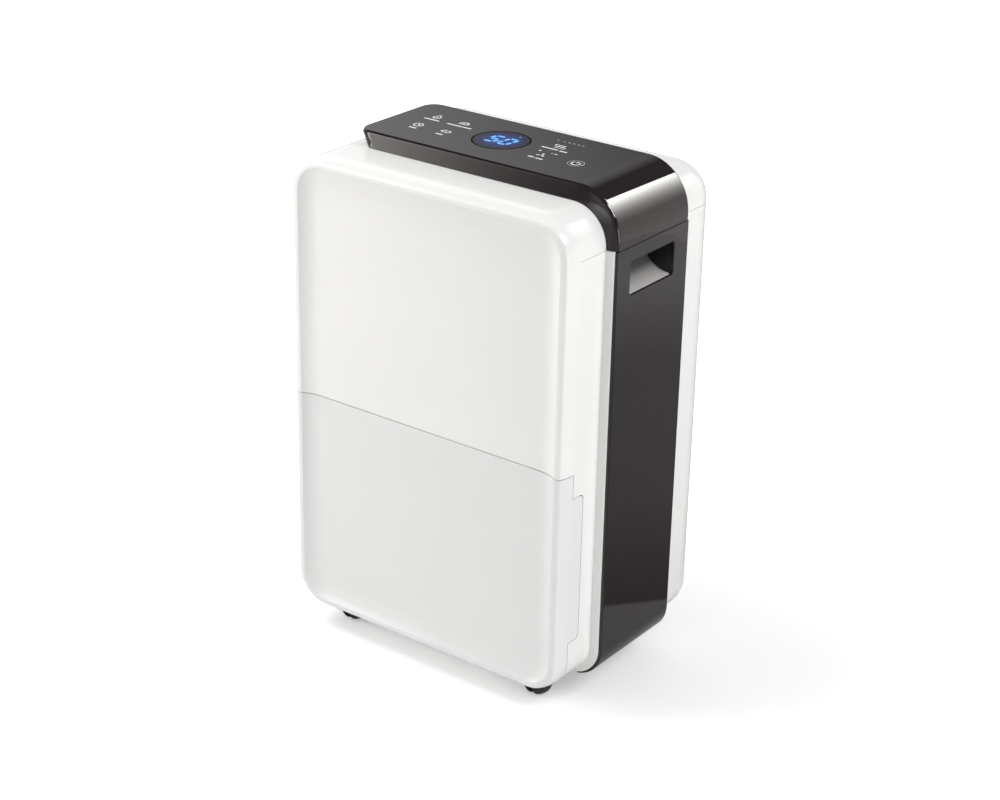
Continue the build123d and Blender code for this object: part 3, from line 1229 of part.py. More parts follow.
wheel_pair = revolve(make_face([
    Line((-half_pair, 0), (-half_pair, dome(half_pair))),
    ThreePointArc(
        (-half_pair, dome(half_pair)), (-half_dome, dome(half_dome)), (-half_slot, dome(half_slot))),
    Line((-half_slot, dome(half_slot)), (-half_slot, AXLE_R)),
    Line((-half_slot, AXLE_R), (half_slot, AXLE_R)),
    Line((half_slot, AXLE_R), (half_slot, dome(half_slot))),
    ThreePointArc(
        (half_slot, dome(half_slot)), (half_dome, dome(half_dome)), (half_pair, dome(half_pair))),
    Line((half_pair, dome(half_pair)), (half_pair, 0)),
    Line((half_pair, 0), (-half_pair, 0)),
]), axis=Axis.X)
for tag, (wx, wy) in WELLS.items():
    ay = wy - CASTER_TRAIL
    yoke = rod_z(YOKE_R, wx, wy, yoke_low, yoke_top)
    yoke = yoke + rod_z(STEM_R, wx, wy, yoke_top - OVER, boss_high - STEM_CAP - YOKE_GAP)
    yoke = yoke + block(
        wx - WEB_HALF, wx + WEB_HALF, ay - WEB_FRONT, wy + WEB_REAR, WHEEL_R, yoke_low + OVER)
    yoke = yoke + rod_x(HUB_R, wx - WEB_HALF, wx + WEB_HALF, ay, WHEEL_R)
    yoke = yoke - rod_x(AXLE_R + RUNNING, wx - half_pair, wx + half_pair, ay, WHEEL_R)
    save(yoke, "caster_yoke_" + tag)
    save(Pos(wx, ay, WHEEL_R) * wheel_pair, "caster_wheels_" + tag)
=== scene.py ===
"""Looks of a portable dehumidifier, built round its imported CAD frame."""

import math

import bmesh
import bpy
from bpy.props import FloatProperty, FloatVectorProperty, IntProperty, PointerProperty
from mathutils import Matrix, Vector


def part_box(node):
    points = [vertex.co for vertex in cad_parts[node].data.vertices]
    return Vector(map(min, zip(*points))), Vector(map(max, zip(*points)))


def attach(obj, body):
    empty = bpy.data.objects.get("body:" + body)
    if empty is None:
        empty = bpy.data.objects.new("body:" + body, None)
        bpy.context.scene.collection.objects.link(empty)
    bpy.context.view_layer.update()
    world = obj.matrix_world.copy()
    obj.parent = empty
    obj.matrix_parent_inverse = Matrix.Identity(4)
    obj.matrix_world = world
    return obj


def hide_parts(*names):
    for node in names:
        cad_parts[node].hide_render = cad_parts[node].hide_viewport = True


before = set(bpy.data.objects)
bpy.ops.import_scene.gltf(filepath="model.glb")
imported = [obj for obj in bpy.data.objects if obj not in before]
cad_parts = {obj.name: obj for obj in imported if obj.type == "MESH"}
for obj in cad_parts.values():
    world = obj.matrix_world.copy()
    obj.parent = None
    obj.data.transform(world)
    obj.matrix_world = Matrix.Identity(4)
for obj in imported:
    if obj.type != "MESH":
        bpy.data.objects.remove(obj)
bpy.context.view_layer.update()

bl_info = {
    "name": "Dehumidifier Looks",
    "version": (1, 0, 0),
    "blender": (4, 5, 0),
    "location": "3D View > Sidebar > Dehumidifier",
    "description": "Dresses the dehumidifier's frame with finishes, panel marks, display and stage",
    "category": "Object",
}

CASTERS = ("fl", "fr", "rl", "rr")
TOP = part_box("control_panel")[1][2]
LENS_LOW, LENS_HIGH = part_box("display_lens")
LENS_MIDDLE = ((LENS_LOW[0] + LENS_HIGH[0]) / 2, (LENS_LOW[1] + LENS_HIGH[1]) / 2)


def colour_property(name, description, default):
    return FloatVectorProperty(
        name=name, description=description, default=default, subtype="COLOR", min=0.0, max=1.0)


def length_property(name, description, default):
    return FloatProperty(
        name=name, description=description, default=default, min=0.0, unit="LENGTH", precision=5)


def power_property(name, description, default):
    return FloatProperty(
        name=name, description=description, default=default, min=0.0, unit="POWER")


def glow_property(name, description, default):
    return FloatProperty(name=name, description=description, default=default, min=0.0)


class DEHUMIDIFIER_PG_finish(bpy.types.PropertyGroup):
    """Colours of the finishes"""

    shell_white: colour_property("Shell white", "Warm white of the shells", (0.86, 0.858, 0.845))
    bucket_white: colour_property(
        "Bucket white", "Neutral white of the bucket front", (0.785, 0.785, 0.785))
    band_black: colour_property(
        "Band black", "Brownish black of the band", (0.0175, 0.0130, 0.0135))
    cup_black: colour_property(
        "Cup black", "Black of the handle cups' end walls", (0.012, 0.010, 0.010))
    # The scoop's light silver is partly a painted reflection of the studio light
    cup_silver_and_sheen: colour_property(
        "Cup silver", "Satin silver of the handle scoops", (0.93, 0.91, 0.89))
    glass_black: colour_property(
        "Glass black", "Navy black of the display glass", (0.004, 0.005, 0.014))
    glow_blue: colour_property("Glow blue", "Light of the display figures", (0.07, 0.36, 1.0))
    mark_white: colour_property("Mark white", "Print of the touch marks", (0.74, 0.74, 0.74))
    tank_clear: colour_property("Tank clear", "Clear bucket plastic", (0.80, 0.86, 0.90))
    inner_grey: colour_property(
        "Inner grey", "Moulded grey of the inner plastic", (0.34, 0.35, 0.36))
    base_grey: colour_property("Base grey", "Dark grey of the base pan", (0.05, 0.05, 0.053))
    caster_black: colour_property("Caster black", "Black of the casters", (0.012, 0.012, 0.012))
    net_black: colour_property("Net black", "Black of the filter net", (0.020, 0.020, 0.022))


class DEHUMIDIFIER_PG_sizes(bpy.types.PropertyGroup):
    """Sizes of the pieces that the looks add"""

    soft_edge: length_property("Soft edge", "Rounding of the moulded edges", 0.0006)
    mark_depth: length_property("Mark depth", "Thickness of the printed marks", 0.00005)
    mark_line: length_property("Mark line", "Line width of the printed marks", 0.0016)
    bar_line: length_property("Bar line", "Width of the bars under the marks", 0.0025)
    digit_height: length_property("Digit height", "Height of the display figures", 0.0180)
    digit_width: length_property("Digit width", "Width of a display figure", 0.0098)
    digit_gap: length_property("Digit gap", "Gap between the display figures", 0.0056)
    digit_stroke: length_property("Digit stroke", "Width of a segment", 0.0019)
    halo_stroke: length_property("Halo stroke", "Width of the glow round a segment", 0.0050)
    lens_rim: length_property("Lens rim", "Width of the dark ring round the display", 0.0013)
    digit_slant: FloatProperty(
        name="Digit slant", description="Lean of the display figures", default=math.radians(9.0),
        subtype="ANGLE")
    net_pitch: length_property("Net pitch", "Spacing of the filter threads", 0.0026)
    net_thread: length_property("Net thread", "Thickness of a filter thread", 0.0005)
    fin_count: IntProperty(
        name="Fin count", description="Fins shown on each coil", default=90, min=2)
    fin_thick: length_property("Fin thickness", "Thickness of a coil fin", 0.0003)


class DEHUMIDIFIER_PG_stage(bpy.types.PropertyGroup):
    """Floor, lamps and camera"""

    floor_white: colour_property("Floor white", "Colour of the floor", (0.90, 0.90, 0.90))
    floor_size: length_property("Floor size", "Side of the floor", 24.0)
    key_power: power_property("Key power", "Lamp high on the left", 17.0)
    shine_power: power_property("Shine power", "Part of that lamp that mirrors in gloss", 13.5)
    side_power: power_property("Side power", "Lamp at the right", 23.5)
    low_power: power_property("Low power", "Low lamp at the right", 5.8)
    fill_power: power_property("Fill power", "Low lamp at the right front", 0.7)
    left_glow: glow_property("Left glow", "Glow of the card at the left front", 8.2)
    card_bright: glow_property("Card bright", "Glow at the right card's near edge", 6.5)
    card_dim: glow_property("Card dim", "Glow at the right card's far edge", 0.95)
    ambient: glow_property("Ambient", "Strength of the even light", 0.268)
    camera_place: FloatVectorProperty(
        name="Camera place", description="Where the camera stands",
        default=(1.17327, -1.58364, 1.13379), subtype="TRANSLATION", unit="LENGTH")
    camera_right: FloatVectorProperty(
        name="Camera right", description="Direction of the picture's right",
        default=(0.79848, 0.60174, 0.01837), subtype="DIRECTION")
    camera_up: FloatVectorProperty(
        name="Camera up", description="Direction of the picture's top",
        default=(-0.25956, 0.31657, 0.91237), subtype="DIRECTION")
    camera_lens: FloatProperty(
        name="Camera lens", description="Focal length in millimetres", default=78.444,
        unit="CAMERA")


# Places of a mix node's sockets when it mixes colours
MIX_FACTOR, MIX_FIRST, MIX_SECOND, MIX_RESULT = 0, 6, 7, 2


def rgba(colour):
    return (*colour[:3], 1.0)


def grey(value):
    return (value, value, value)


def shade(colour, factor):
    return tuple(min(1.0, c * factor) for c in colour[:3])


def feed(tree, socket, value):
    """Links a node's output, or sets a plain value"""
    if isinstance(value, bpy.types.NodeSocket):
        tree.links.new(value, socket)
    else:
        socket.default_value = value


def group_node(tree, name):
    node = tree.nodes.new("ShaderNodeGroup")
    node.node_tree = bpy.data.node_groups[name]
    return node


def noise_node(tree, vector, detail, scale):
    node = tree.nodes.new("ShaderNodeTexNoise")
    tree.links.new(vector, node.inputs["Vector"])
    feed(tree, node.inputs["Detail"], detail)
    feed(tree, node.inputs["Scale"], scale)
    return node.outputs[0]


def range_node(tree, value, low, high, smooth=False, start=0.0):
    """Runs from start to 1 while the value runs from low to high"""
    node = tree.nodes.new("ShaderNodeMapRange")
    node.interpolation_type = "SMOOTHSTEP" if smooth else "LINEAR"
    node.inputs["From Min"].default_value = low
    node.inputs["From Max"].default_value = high
    node.inputs["To Min"].default_value = start
    tree.links.new(value, node.inputs["Value"])
    return node.outputs["Result"]


def math_node(tree, operation, first, second=0.0):
    node = tree.nodes.new("ShaderNodeMath")
    node.operation = operation
    feed(tree, node.inputs[0], first)
    feed(tree, node.inputs[1], second)
    return node.outputs["Value"]


def vector_node(tree, operation, first, second=None):
    node = tree.nodes.new("ShaderNodeVectorMath")
    node.operation = operation
    tree.links.new(first, node.inputs[0])
    if second is not None:
        feed(tree, node.inputs[1], second)
    return node.outputs["Vector" if operation == "MULTIPLY" else "Value"]


def mix_node(tree, factor, first, second):
    node = tree.nodes.new("ShaderNodeMix")
    node.data_type = "RGBA"
    feed(tree, node.inputs[MIX_FACTOR], factor)
    for index, value in ((MIX_FIRST, first), (MIX_SECOND, second)):
        if not isinstance(value, bpy.types.NodeSocket):
            value = rgba(value)
        feed(tree, node.inputs[index], value)
    return node.outputs[MIX_RESULT]


def ramp_node(tree, value, stops):
    """Greys that change along a value from 0 to 1"""
    node = tree.nodes.new("ShaderNodeValToRGB")
    tree.links.new(value, node.inputs["Fac"])
    points = node.color_ramp.elements
    while len(points) < len(stops):
        points.new(0.5)
    for point, (position, tone) in zip(points, stops):
        point.position = position
        point.color = rgba(grey(tone))
    return node.outputs["Color"]


def object_coordinates(tree):
    return tree.nodes.new("ShaderNodeTexCoord").outputs["Object"]


def split_axes(tree, place):
    split = tree.nodes.new("ShaderNodeSeparateXYZ")
    tree.links.new(place, split.inputs["Vector"])
    return split.outputs


COLOUR = "NodeSocketColor"
VALUE = "NodeSocketFloat"
VECTOR = "NodeSocketVector"
FINISH_OUTPUTS = (("Colour", COLOUR), ("Roughness", VALUE), ("Height", VALUE))

CLOUD_DETAIL = 3.0
CLOUD_RANGE = (0.35, 0.75)
SMEAR_DETAIL = 5.0
SMEAR_SCALE = 26.0
GRAIN_DETAIL = 2.0
NOISE_MIDDLE = 0.5
STREAK_DETAIL = 6.0
STREAK_RANGE = (0.35, 0.7)
TRACK_RANGE = (0.30, 0.34)
PAD_RANGE = (0.10, 0.07)
PAD_SHINE = -0.15
BOARD_ROUGHNESS = 0.42
DULL_SHADE = 0.72
FINE_GRAIN = 0.000004


def open_group(name, inputs):
    """Starts a shared effect that gives a colour, a roughness and a height"""
    group = bpy.data.node_groups.new(name, "ShaderNodeTree")
    for label, kind, value in inputs:
        socket = group.interface.new_socket(label, in_out="INPUT", socket_type=kind)
        socket.default_value = value
    for label, kind in FINISH_OUTPUTS:
        group.interface.new_socket(label, in_out="OUTPUT", socket_type=kind)
    return group, group.nodes.new("NodeGroupInput").outputs


def close_group(group, *results):
    leave = group.nodes.new("NodeGroupOutput")
    for (label, kind), result in zip(FINISH_OUTPUTS, results):
        group.links.new(result, leave.inputs[label])


def build_moulded_group():
    """Cloudy tone, uneven gloss and fine grain of moulded plastic, paint and rubber"""
    group, given = open_group("Moulded surface", (
        ("Colour", COLOUR, (0.8, 0.8, 0.8, 1.0)), ("Tint", COLOUR, (0.7, 0.7, 0.7, 1.0)),
        ("Cloud Scale", VALUE, 7.0), ("Roughness", VALUE, 0.3), ("Gloss Spread", VALUE, 0.05),
        ("Grain Scale", VALUE, 900.0)))
    place = object_coordinates(group)
    cloud = noise_node(group, place, CLOUD_DETAIL, given["Cloud Scale"])
    tone = range_node(group, cloud, *CLOUD_RANGE)
    colour = mix_node(group, tone, given["Colour"], given["Tint"])
    smear = noise_node(group, place, SMEAR_DETAIL, SMEAR_SCALE)
    offset = math_node(group, "SUBTRACT", smear, NOISE_MIDDLE)
    spread = math_node(group, "MULTIPLY", offset, given["Gloss Spread"])
    gloss = math_node(group, "ADD", given["Roughness"], spread)
    grain = noise_node(group, place, GRAIN_DETAIL, given["Grain Scale"])
    close_group(group, colour, gloss, grain)


def build_drawn_group():
    """Streaks of drawn, rolled or brushed metal"""
    group, given = open_group("Drawn metal", (
        ("Colour", COLOUR, (0.6, 0.6, 0.6, 1.0)), ("Dull", COLOUR, (0.4, 0.4, 0.4, 1.0)),
        ("Stretch", VECTOR, (1.0, 1.0, 1.0)), ("Streak Scale", VALUE, 120.0),
        ("Roughness", VALUE, 0.3), ("Gloss Spread", VALUE, 0.15)))
    stretched = vector_node(group, "MULTIPLY", object_coordinates(group), given["Stretch"])
    streak = noise_node(group, stretched, STREAK_DETAIL, given["Streak Scale"])
    tone = range_node(group, streak, *STREAK_RANGE)
    colour = mix_node(group, tone, given["Colour"], given["Dull"])
    spread = math_node(group, "MULTIPLY", tone, given["Gloss Spread"])
    gloss = math_node(group, "ADD", given["Roughness"], spread)
    close_group(group, colour, gloss, streak)


def build_board_group():
    """Lacquer, tracks and pads of a circuit board"""
    group, given = open_group("Board tracks", (
        ("Colour", COLOUR, (0.01, 0.09, 0.03, 1.0)), ("Track", COLOUR, (0.03, 0.17, 0.06, 1.0)),
        ("Pad", COLOUR, (0.62, 0.60, 0.55, 1.0)), ("Track Scale", VALUE, 60.0)))
    tracks = group.nodes.new("ShaderNodeTexVoronoi")
    tracks.distance = "MANHATTAN"
    group.links.new(object_coordinates(group), tracks.inputs["Vector"])
    group.links.new(given["Track Scale"], tracks.inputs["Scale"])
    line = range_node(group, tracks.outputs["Distance"], *TRACK_RANGE)
    pad = range_node(group, tracks.outputs["Distance"], *PAD_RANGE)
    board = mix_node(group, line, given["Colour"], given["Track"])
    colour = mix_node(group, pad, board, given["Pad"])
    shine = math_node(group, "MULTIPLY", pad, PAD_SHINE)
    gloss = math_node(group, "ADD", shine, BOARD_ROUGHNESS)
    close_group(group, colour, gloss, line)


def finish_material(name, effect, values, depth, **sockets):
    """Principled material fed by one of the shared effects"""
    material = bpy.data.materials.new(name)
    material.use_nodes = True
    tree = material.node_tree
    shader = tree.nodes["Principled BSDF"]
    node = group_node(tree, effect)
    node.name = "Finish"
    for label, value in values.items():
        socket = node.inputs[label]
        socket.default_value = rgba(value) if socket.type == "RGBA" else value
    for label, value in sockets.items():
        label = label.replace("_", " ").title().replace("Ior", "IOR")
        shader.inputs[label].default_value = value
    tree.links.new(node.outputs["Colour"], shader.inputs["Base Color"])
    tree.links.new(node.outputs["Roughness"], shader.inputs["Roughness"])
    if depth:
        bump = tree.nodes.new("ShaderNodeBump")
        bump.inputs["Strength"].default_value = 1.0
        bump.inputs["Distance"].default_value = depth
        tree.links.new(node.outputs["Height"], bump.inputs["Height"])
        tree.links.new(bump.outputs["Normal"], shader.inputs["Normal"])
    return material


def moulded(
        name, colour, roughness, depth=FINE_GRAIN, tint=0.94, grain=900.0, spread=0.05, **sockets):
    values = {
        "Colour": colour, "Tint": shade(colour, tint), "Roughness": roughness,
        "Gloss Spread": spread, "Grain Scale": grain}
    return finish_material(name, "Moulded surface", values, depth, **sockets)


def drawn(name, colour, roughness, stretch=(1.0, 1.0, 1.0), scale=120.0):
    values = {
        "Colour": colour, "Dull": shade(colour, DULL_SHADE), "Roughness": roughness,
        "Stretch": stretch, "Streak Scale": scale}
    return finish_material(name, "Drawn metal", values, FINE_GRAIN, metallic=1.0)


def coat_nodes(material, *nodes):
    """Gives CAD nodes that are shown as they are one finish"""
    for name in nodes:
        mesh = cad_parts[name].data
        mesh.materials.clear()
        mesh.materials.append(material)


MERGE_DISTANCE = 0.000002
MARK_MERGE_DISTANCE = 0.000001
FLAT_ANGLE = math.radians(0.3)
SMOOTH_ANGLE = math.radians(35)
EDGE_ANGLE = math.radians(40)
EDGE_SEGMENTS = 2
FACE_WEIGHT = 60
ARC_STEP = 9
ARC_LEAST_STEPS = 6
DOT_SEGMENTS = 20
ORIGIN = (0.0, 0.0, 0.0)
UPRIGHT = math.radians(90)


def linked_object(name, shape, material):
    """Turns a bmesh into an object in the scene"""
    mesh = bpy.data.meshes.new(name)
    shape.to_mesh(mesh)
    shape.free()
    mesh.materials.append(material)
    made = bpy.data.objects.new(name, mesh)
    bpy.context.scene.collection.objects.link(made)
    return made


def place_piece(name, shape, material, body, slot, *nodes):
    """Turns a bmesh into a piece that rides on a body and stands for CAD nodes"""
    if not shape.faces:
        raise RuntimeError(name + " has no faces")
    piece = linked_object(name, shape, material)
    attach(piece, body)
    if nodes:
        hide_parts(*nodes)
    return piece


def smooth_faces(shape):
    for face in shape.faces:
        face.smooth = True
    for edge in shape.edges:
        edge.smooth = not (edge.is_manifold and edge.calc_face_angle(0.0) > SMOOTH_ANGLE)


def even_shading(piece):
    modifier = piece.modifiers.new("Even shading", "WEIGHTED_NORMAL")
    modifier.keep_sharp = True
    modifier.weight = FACE_WEIGHT


def node_shape(node):
    """Merged copy of a CAD node's mesh"""
    shape = bmesh.new()
    shape.from_mesh(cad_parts[node].data)
    bmesh.ops.remove_doubles(shape, verts=shape.verts, dist=MERGE_DISTANCE)
    bmesh.ops.dissolve_limit(
        shape, angle_limit=FLAT_ANGLE, verts=shape.verts, edges=shape.edges)
    return shape


def soften(shape, offset, wanted=lambda edge: True):
    """Rounds the sharp outer edges"""
    edges = [
        e for e in shape.edges
        if e.is_manifold and e.is_convex and e.calc_face_angle(0.0) > EDGE_ANGLE and wanted(e)]
    bmesh.ops.bevel(
        shape, geom=edges, offset=offset, offset_type="OFFSET", affect="EDGES",
        segments=EDGE_SEGMENTS, profile=0.5, material=-1, clamp_overlap=True)


def box_shape(shape, low, high):
    made = bmesh.ops.create_cube(shape, size=1.0)
    size = [b - a for a, b in zip(low, high)]
    middle = [(a + b) / 2 for a, b in zip(low, high)]
    bmesh.ops.scale(shape, vec=size, verts=made["verts"])
    bmesh.ops.translate(shape, vec=middle, verts=made["verts"])
    return made["verts"]


def disc_shape(shape, radius, low, high, middle, segments):
    made = bmesh.ops.create_cone(
        shape, cap_ends=True, segments=segments, radius1=radius, radius2=radius, depth=high - low)
    bmesh.ops.translate(shape, vec=(*middle, (low + high) / 2), verts=made["verts"])


class Marks:
    """Flat printed strokes between two heights"""

    def __init__(self, low, high):
        self.shape = bmesh.new()
        self.low = low
        self.high = high

    def bar(self, start, end, width):
        start = Vector(start)
        run = Vector(end) - start
        verts = box_shape(
            self.shape, (0.0, -width / 2, self.low), (run.length, width / 2, self.high))
        turn = Matrix.Rotation(math.atan2(run.y, run.x), 3, "Z")
        bmesh.ops.rotate(self.shape, cent=ORIGIN, matrix=turn, verts=verts)
        bmesh.ops.translate(self.shape, vec=(start.x, start.y, 0.0), verts=verts)

    def arc(self, middle, radius, width, start, end):
        made = bmesh.ops.create_grid(self.shape, x_segments=1, y_segments=1, size=1.0)
        corners = made["verts"]
        height = self.high - self.low
        upright = Matrix.Rotation(UPRIGHT, 3, "X")
        turn = Matrix.Rotation(math.radians(start), 3, "Z")
        bmesh.ops.scale(self.shape, vec=(width / 2, height / 2, 1.0), verts=corners)
        bmesh.ops.rotate(self.shape, cent=ORIGIN, matrix=upright, verts=corners)
        bmesh.ops.translate(self.shape, vec=(radius, 0.0, self.low + height / 2), verts=corners)
        bmesh.ops.rotate(self.shape, cent=ORIGIN, matrix=turn, verts=corners)
        bmesh.ops.translate(self.shape, vec=(*middle, 0.0), verts=corners)
        profile = corners[0].link_faces[0]
        edges = list(profile.edges)
        full = abs(end - start) >= 360.0
        geometry = edges if full else [profile, *edges, *corners]
        if full:
            bmesh.ops.delete(self.shape, geom=[profile], context="FACES_ONLY")
        bmesh.ops.spin(
            self.shape, geom=geometry, cent=(*middle, 0.0), axis=(0.0, 0.0, 1.0), dvec=ORIGIN,
            angle=math.radians(end - start), use_merge=full,
            steps=max(ARC_LEAST_STEPS, int(abs(end - start) / ARC_STEP)))

    def dot(self, middle, radius):
        disc_shape(self.shape, radius, self.low, self.high, middle, DOT_SEGMENTS)

    def finished(self):
        bmesh.ops.remove_doubles(self.shape, verts=self.shape.verts, dist=MARK_MERGE_DISTANCE)
        bmesh.ops.recalc_face_normals(self.shape, faces=self.shape.faces)
        return self.shape


class DEHUMIDIFIER_OT_white_shells(bpy.types.Operator):
    """Gloss white front panel, cases, top cover and intake grille"""

    bl_idname = "dehumidifier.white_shells"
    bl_label = "White Shells"

    def execute(self, context):
        finish = context.scene.dehumidifier_finish
        shell = moulded(
            "Gloss white shell", finish.shell_white, roughness=0.16, spread=0.04, tint=0.975)
        coat_nodes(shell, "front_panel", "front_case", "rear_case", "top_cover", "intake_grille")
        return {"FINISHED"}


class DEHUMIDIFIER_OT_bucket(bpy.types.Operator):
    """Bucket front, clear tank, lid and float"""

    bl_idname = "dehumidifier.bucket"
    bl_label = "Bucket"

    def execute(self, context):
        finish = context.scene.dehumidifier_finish
        front = moulded("Bucket front white", finish.bucket_white, roughness=0.20, tint=0.975)
        tank = moulded(
            "Clear tank", finish.tank_clear, roughness=0.22, depth=0.00001, tint=0.97,
            transmission_weight=0.75, ior=1.49)
        foam = moulded(
            "Float foam", (0.80, 0.80, 0.77), roughness=0.75, depth=0.0002, tint=0.90, grain=420.0)
        magnet = drawn("Magnet plating", (0.55, 0.54, 0.52), roughness=0.25)
        coat_nodes(front, "bucket_front")
        coat_nodes(tank, "bucket_tank", "bucket_lid")
        coat_nodes(foam, "float_arm")
        coat_nodes(magnet, "float_magnet")
        return {"FINISHED"}


# The lacquer grows between these distances in from the side and down from the top
LACQUER_INSET = (0.035, 0.023)
LACQUER_DROP = (0.030, 0.013)
# The upper edges of the band have their own rounding down to here
ROUNDED_DROP = 0.03
CUP_WALL = 0.0027
# Run in from the cup's mouth over which the scoop darkens to its deep colour: painted shade of the
# recess
CUP_PAINTED_SHADE_FADE = (0.022, 0.001)
CUP_DEEP_SHADE = 0.13
CUP_CLOUD = 0.08


class DEHUMIDIFIER_OT_black_band(bpy.types.Operator):
    """Gloss black control panel and side panels, handle cups and air outlet"""

    bl_idname = "dehumidifier.black_band"
    bl_label = "Black Band"

    def band_material(self, finish):
        """Gloss black with a brighter lacquer over the right shoulder"""
        material = moulded(
            "Gloss brown black", finish.band_black, roughness=0.05, spread=0.02, tint=0.85,
            depth=0.0, coat_ior=2.3)
        tree = material.node_tree
        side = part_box("control_panel")[1][0]
        axes = split_axes(tree, object_coordinates(tree))
        across = range_node(tree, axes["X"], *(side - inset for inset in LACQUER_INSET))
        upward = range_node(tree, axes["Z"], *(TOP - drop for drop in LACQUER_DROP))
        lacquer = math_node(tree, "MULTIPLY", across, upward)
        tree.links.new(lacquer, tree.nodes["Principled BSDF"].inputs["Coat Weight"])
        return material

    def cup_material(self, finish):
        """Satin scoop whose light silver is partly painted reflection, darkened inward with painted
        shade, between black end walls
        """
        material = moulded("Satin handle cup", finish.cup_silver_and_sheen, roughness=0.30, spread=0.06)
        tree = material.node_tree
        low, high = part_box("handle_cup_right")
        middle = (low[1] + high[1]) / 2
        wall = (high[1] - low[1]) / 2 - CUP_WALL
        axes = split_axes(tree, object_coordinates(tree))
        away = math_node(tree, "SUBTRACT", axes["Y"], middle)
        end = math_node(tree, "GREATER_THAN", math_node(tree, "ABSOLUTE", away), wall)
        outward = math_node(tree, "ABSOLUTE", axes["X"])
        # Painted shade: the scoop is lighter near the mouth and darker deeper in the cup
        near = range_node(tree, outward, *(high[0] - depth for depth in CUP_PAINTED_SHADE_FADE))
        painted_deep_shade = shade(finish.cup_silver_and_sheen, CUP_DEEP_SHADE)
        scoop = mix_node(tree, near, painted_deep_shade, finish.cup_silver_and_sheen)
        colour = mix_node(tree, end, scoop, finish.cup_black)
        tint = mix_node(tree, CUP_CLOUD, colour, finish.cup_black)
        tree.links.new(colour, tree.nodes["Finish"].inputs["Colour"])
        tree.links.new(tint, tree.nodes["Finish"].inputs["Tint"])
        return material

    def execute(self, context):
        finish = context.scene.dehumidifier_finish
        sizes = context.scene.dehumidifier_sizes
        band = self.band_material(finish)
        cup = self.cup_material(finish)
        shape = node_shape("control_panel")
        crown = [v for v in shape.verts if v.co.z > TOP - sizes.mark_depth]
        bmesh.ops.translate(shape, vec=(0.0, 0.0, -sizes.mark_depth), verts=crown)
        limit = TOP - ROUNDED_DROP
        soften(shape, sizes.soft_edge, lambda e: max(v.co.z for v in e.verts) < limit)
        smooth_faces(shape)
        even_shading(place_piece(
            "control_panel_skin", shape, band, "cabinet", "black_panel", "control_panel"))
        for side in ("left", "right"):
            node = "side_panel_" + side
            shape = node_shape(node)
            soften(shape, sizes.soft_edge)
            smooth_faces(shape)
            even_shading(place_piece(
                "side_panel_skin_" + side, shape, band, "cabinet", "black_panel", node))
        coat_nodes(band, "outlet_grille")
        coat_nodes(cup, "handle_cup_left", "handle_cup_right")
        return {"FINISHED"}


# Segments of a figure as shares of its width and height
SEGMENTS = {
    "top": ((0.0, 1.0), (1.0, 1.0)), "upper_left": ((0.0, 0.5), (0.0, 1.0)),
    "upper_right": ((1.0, 0.5), (1.0, 1.0)), "middle": ((0.0, 0.5), (1.0, 0.5)),
    "lower_left": ((0.0, 0.0), (0.0, 0.5)), "lower_right": ((1.0, 0.0), (1.0, 0.5)),
    "bottom": ((0.0, 0.0), (1.0, 0.0)),
}
FIVE = ("top", "upper_left", "middle", "lower_right", "bottom")
ZERO = ("top", "upper_left", "upper_right", "lower_left", "lower_right", "bottom")
SEGMENT_GAP = 0.62
GLASS_EDGE = 0.0005
GLASS_SEGMENTS = 96
GLASS_GLOW = (0.006, 0.030, 0.20)
GLASS_GLOW_REACH = (0.029, 0.004)
RIM_SHADE = 0.4
HALO_SHADES = (0.14, 0.24)
FIGURE_SHADE = 0.8
FIGURE_LIGHT = (0.14, 0.54, 1.0)
GLIMMER_DETAIL = 2.0
GLIMMER_SCALE = 260.0
# Heights of the prints over the glass, and how far all prints reach into what carries them
RIM_LIFT = 0.00001
HALO_LIFT = 0.00002
PRINT_SINK = 0.0001
SIGN_DOT = (0.0085, 0.0185)
SIGN_DOT_RADIUS = 0.0009


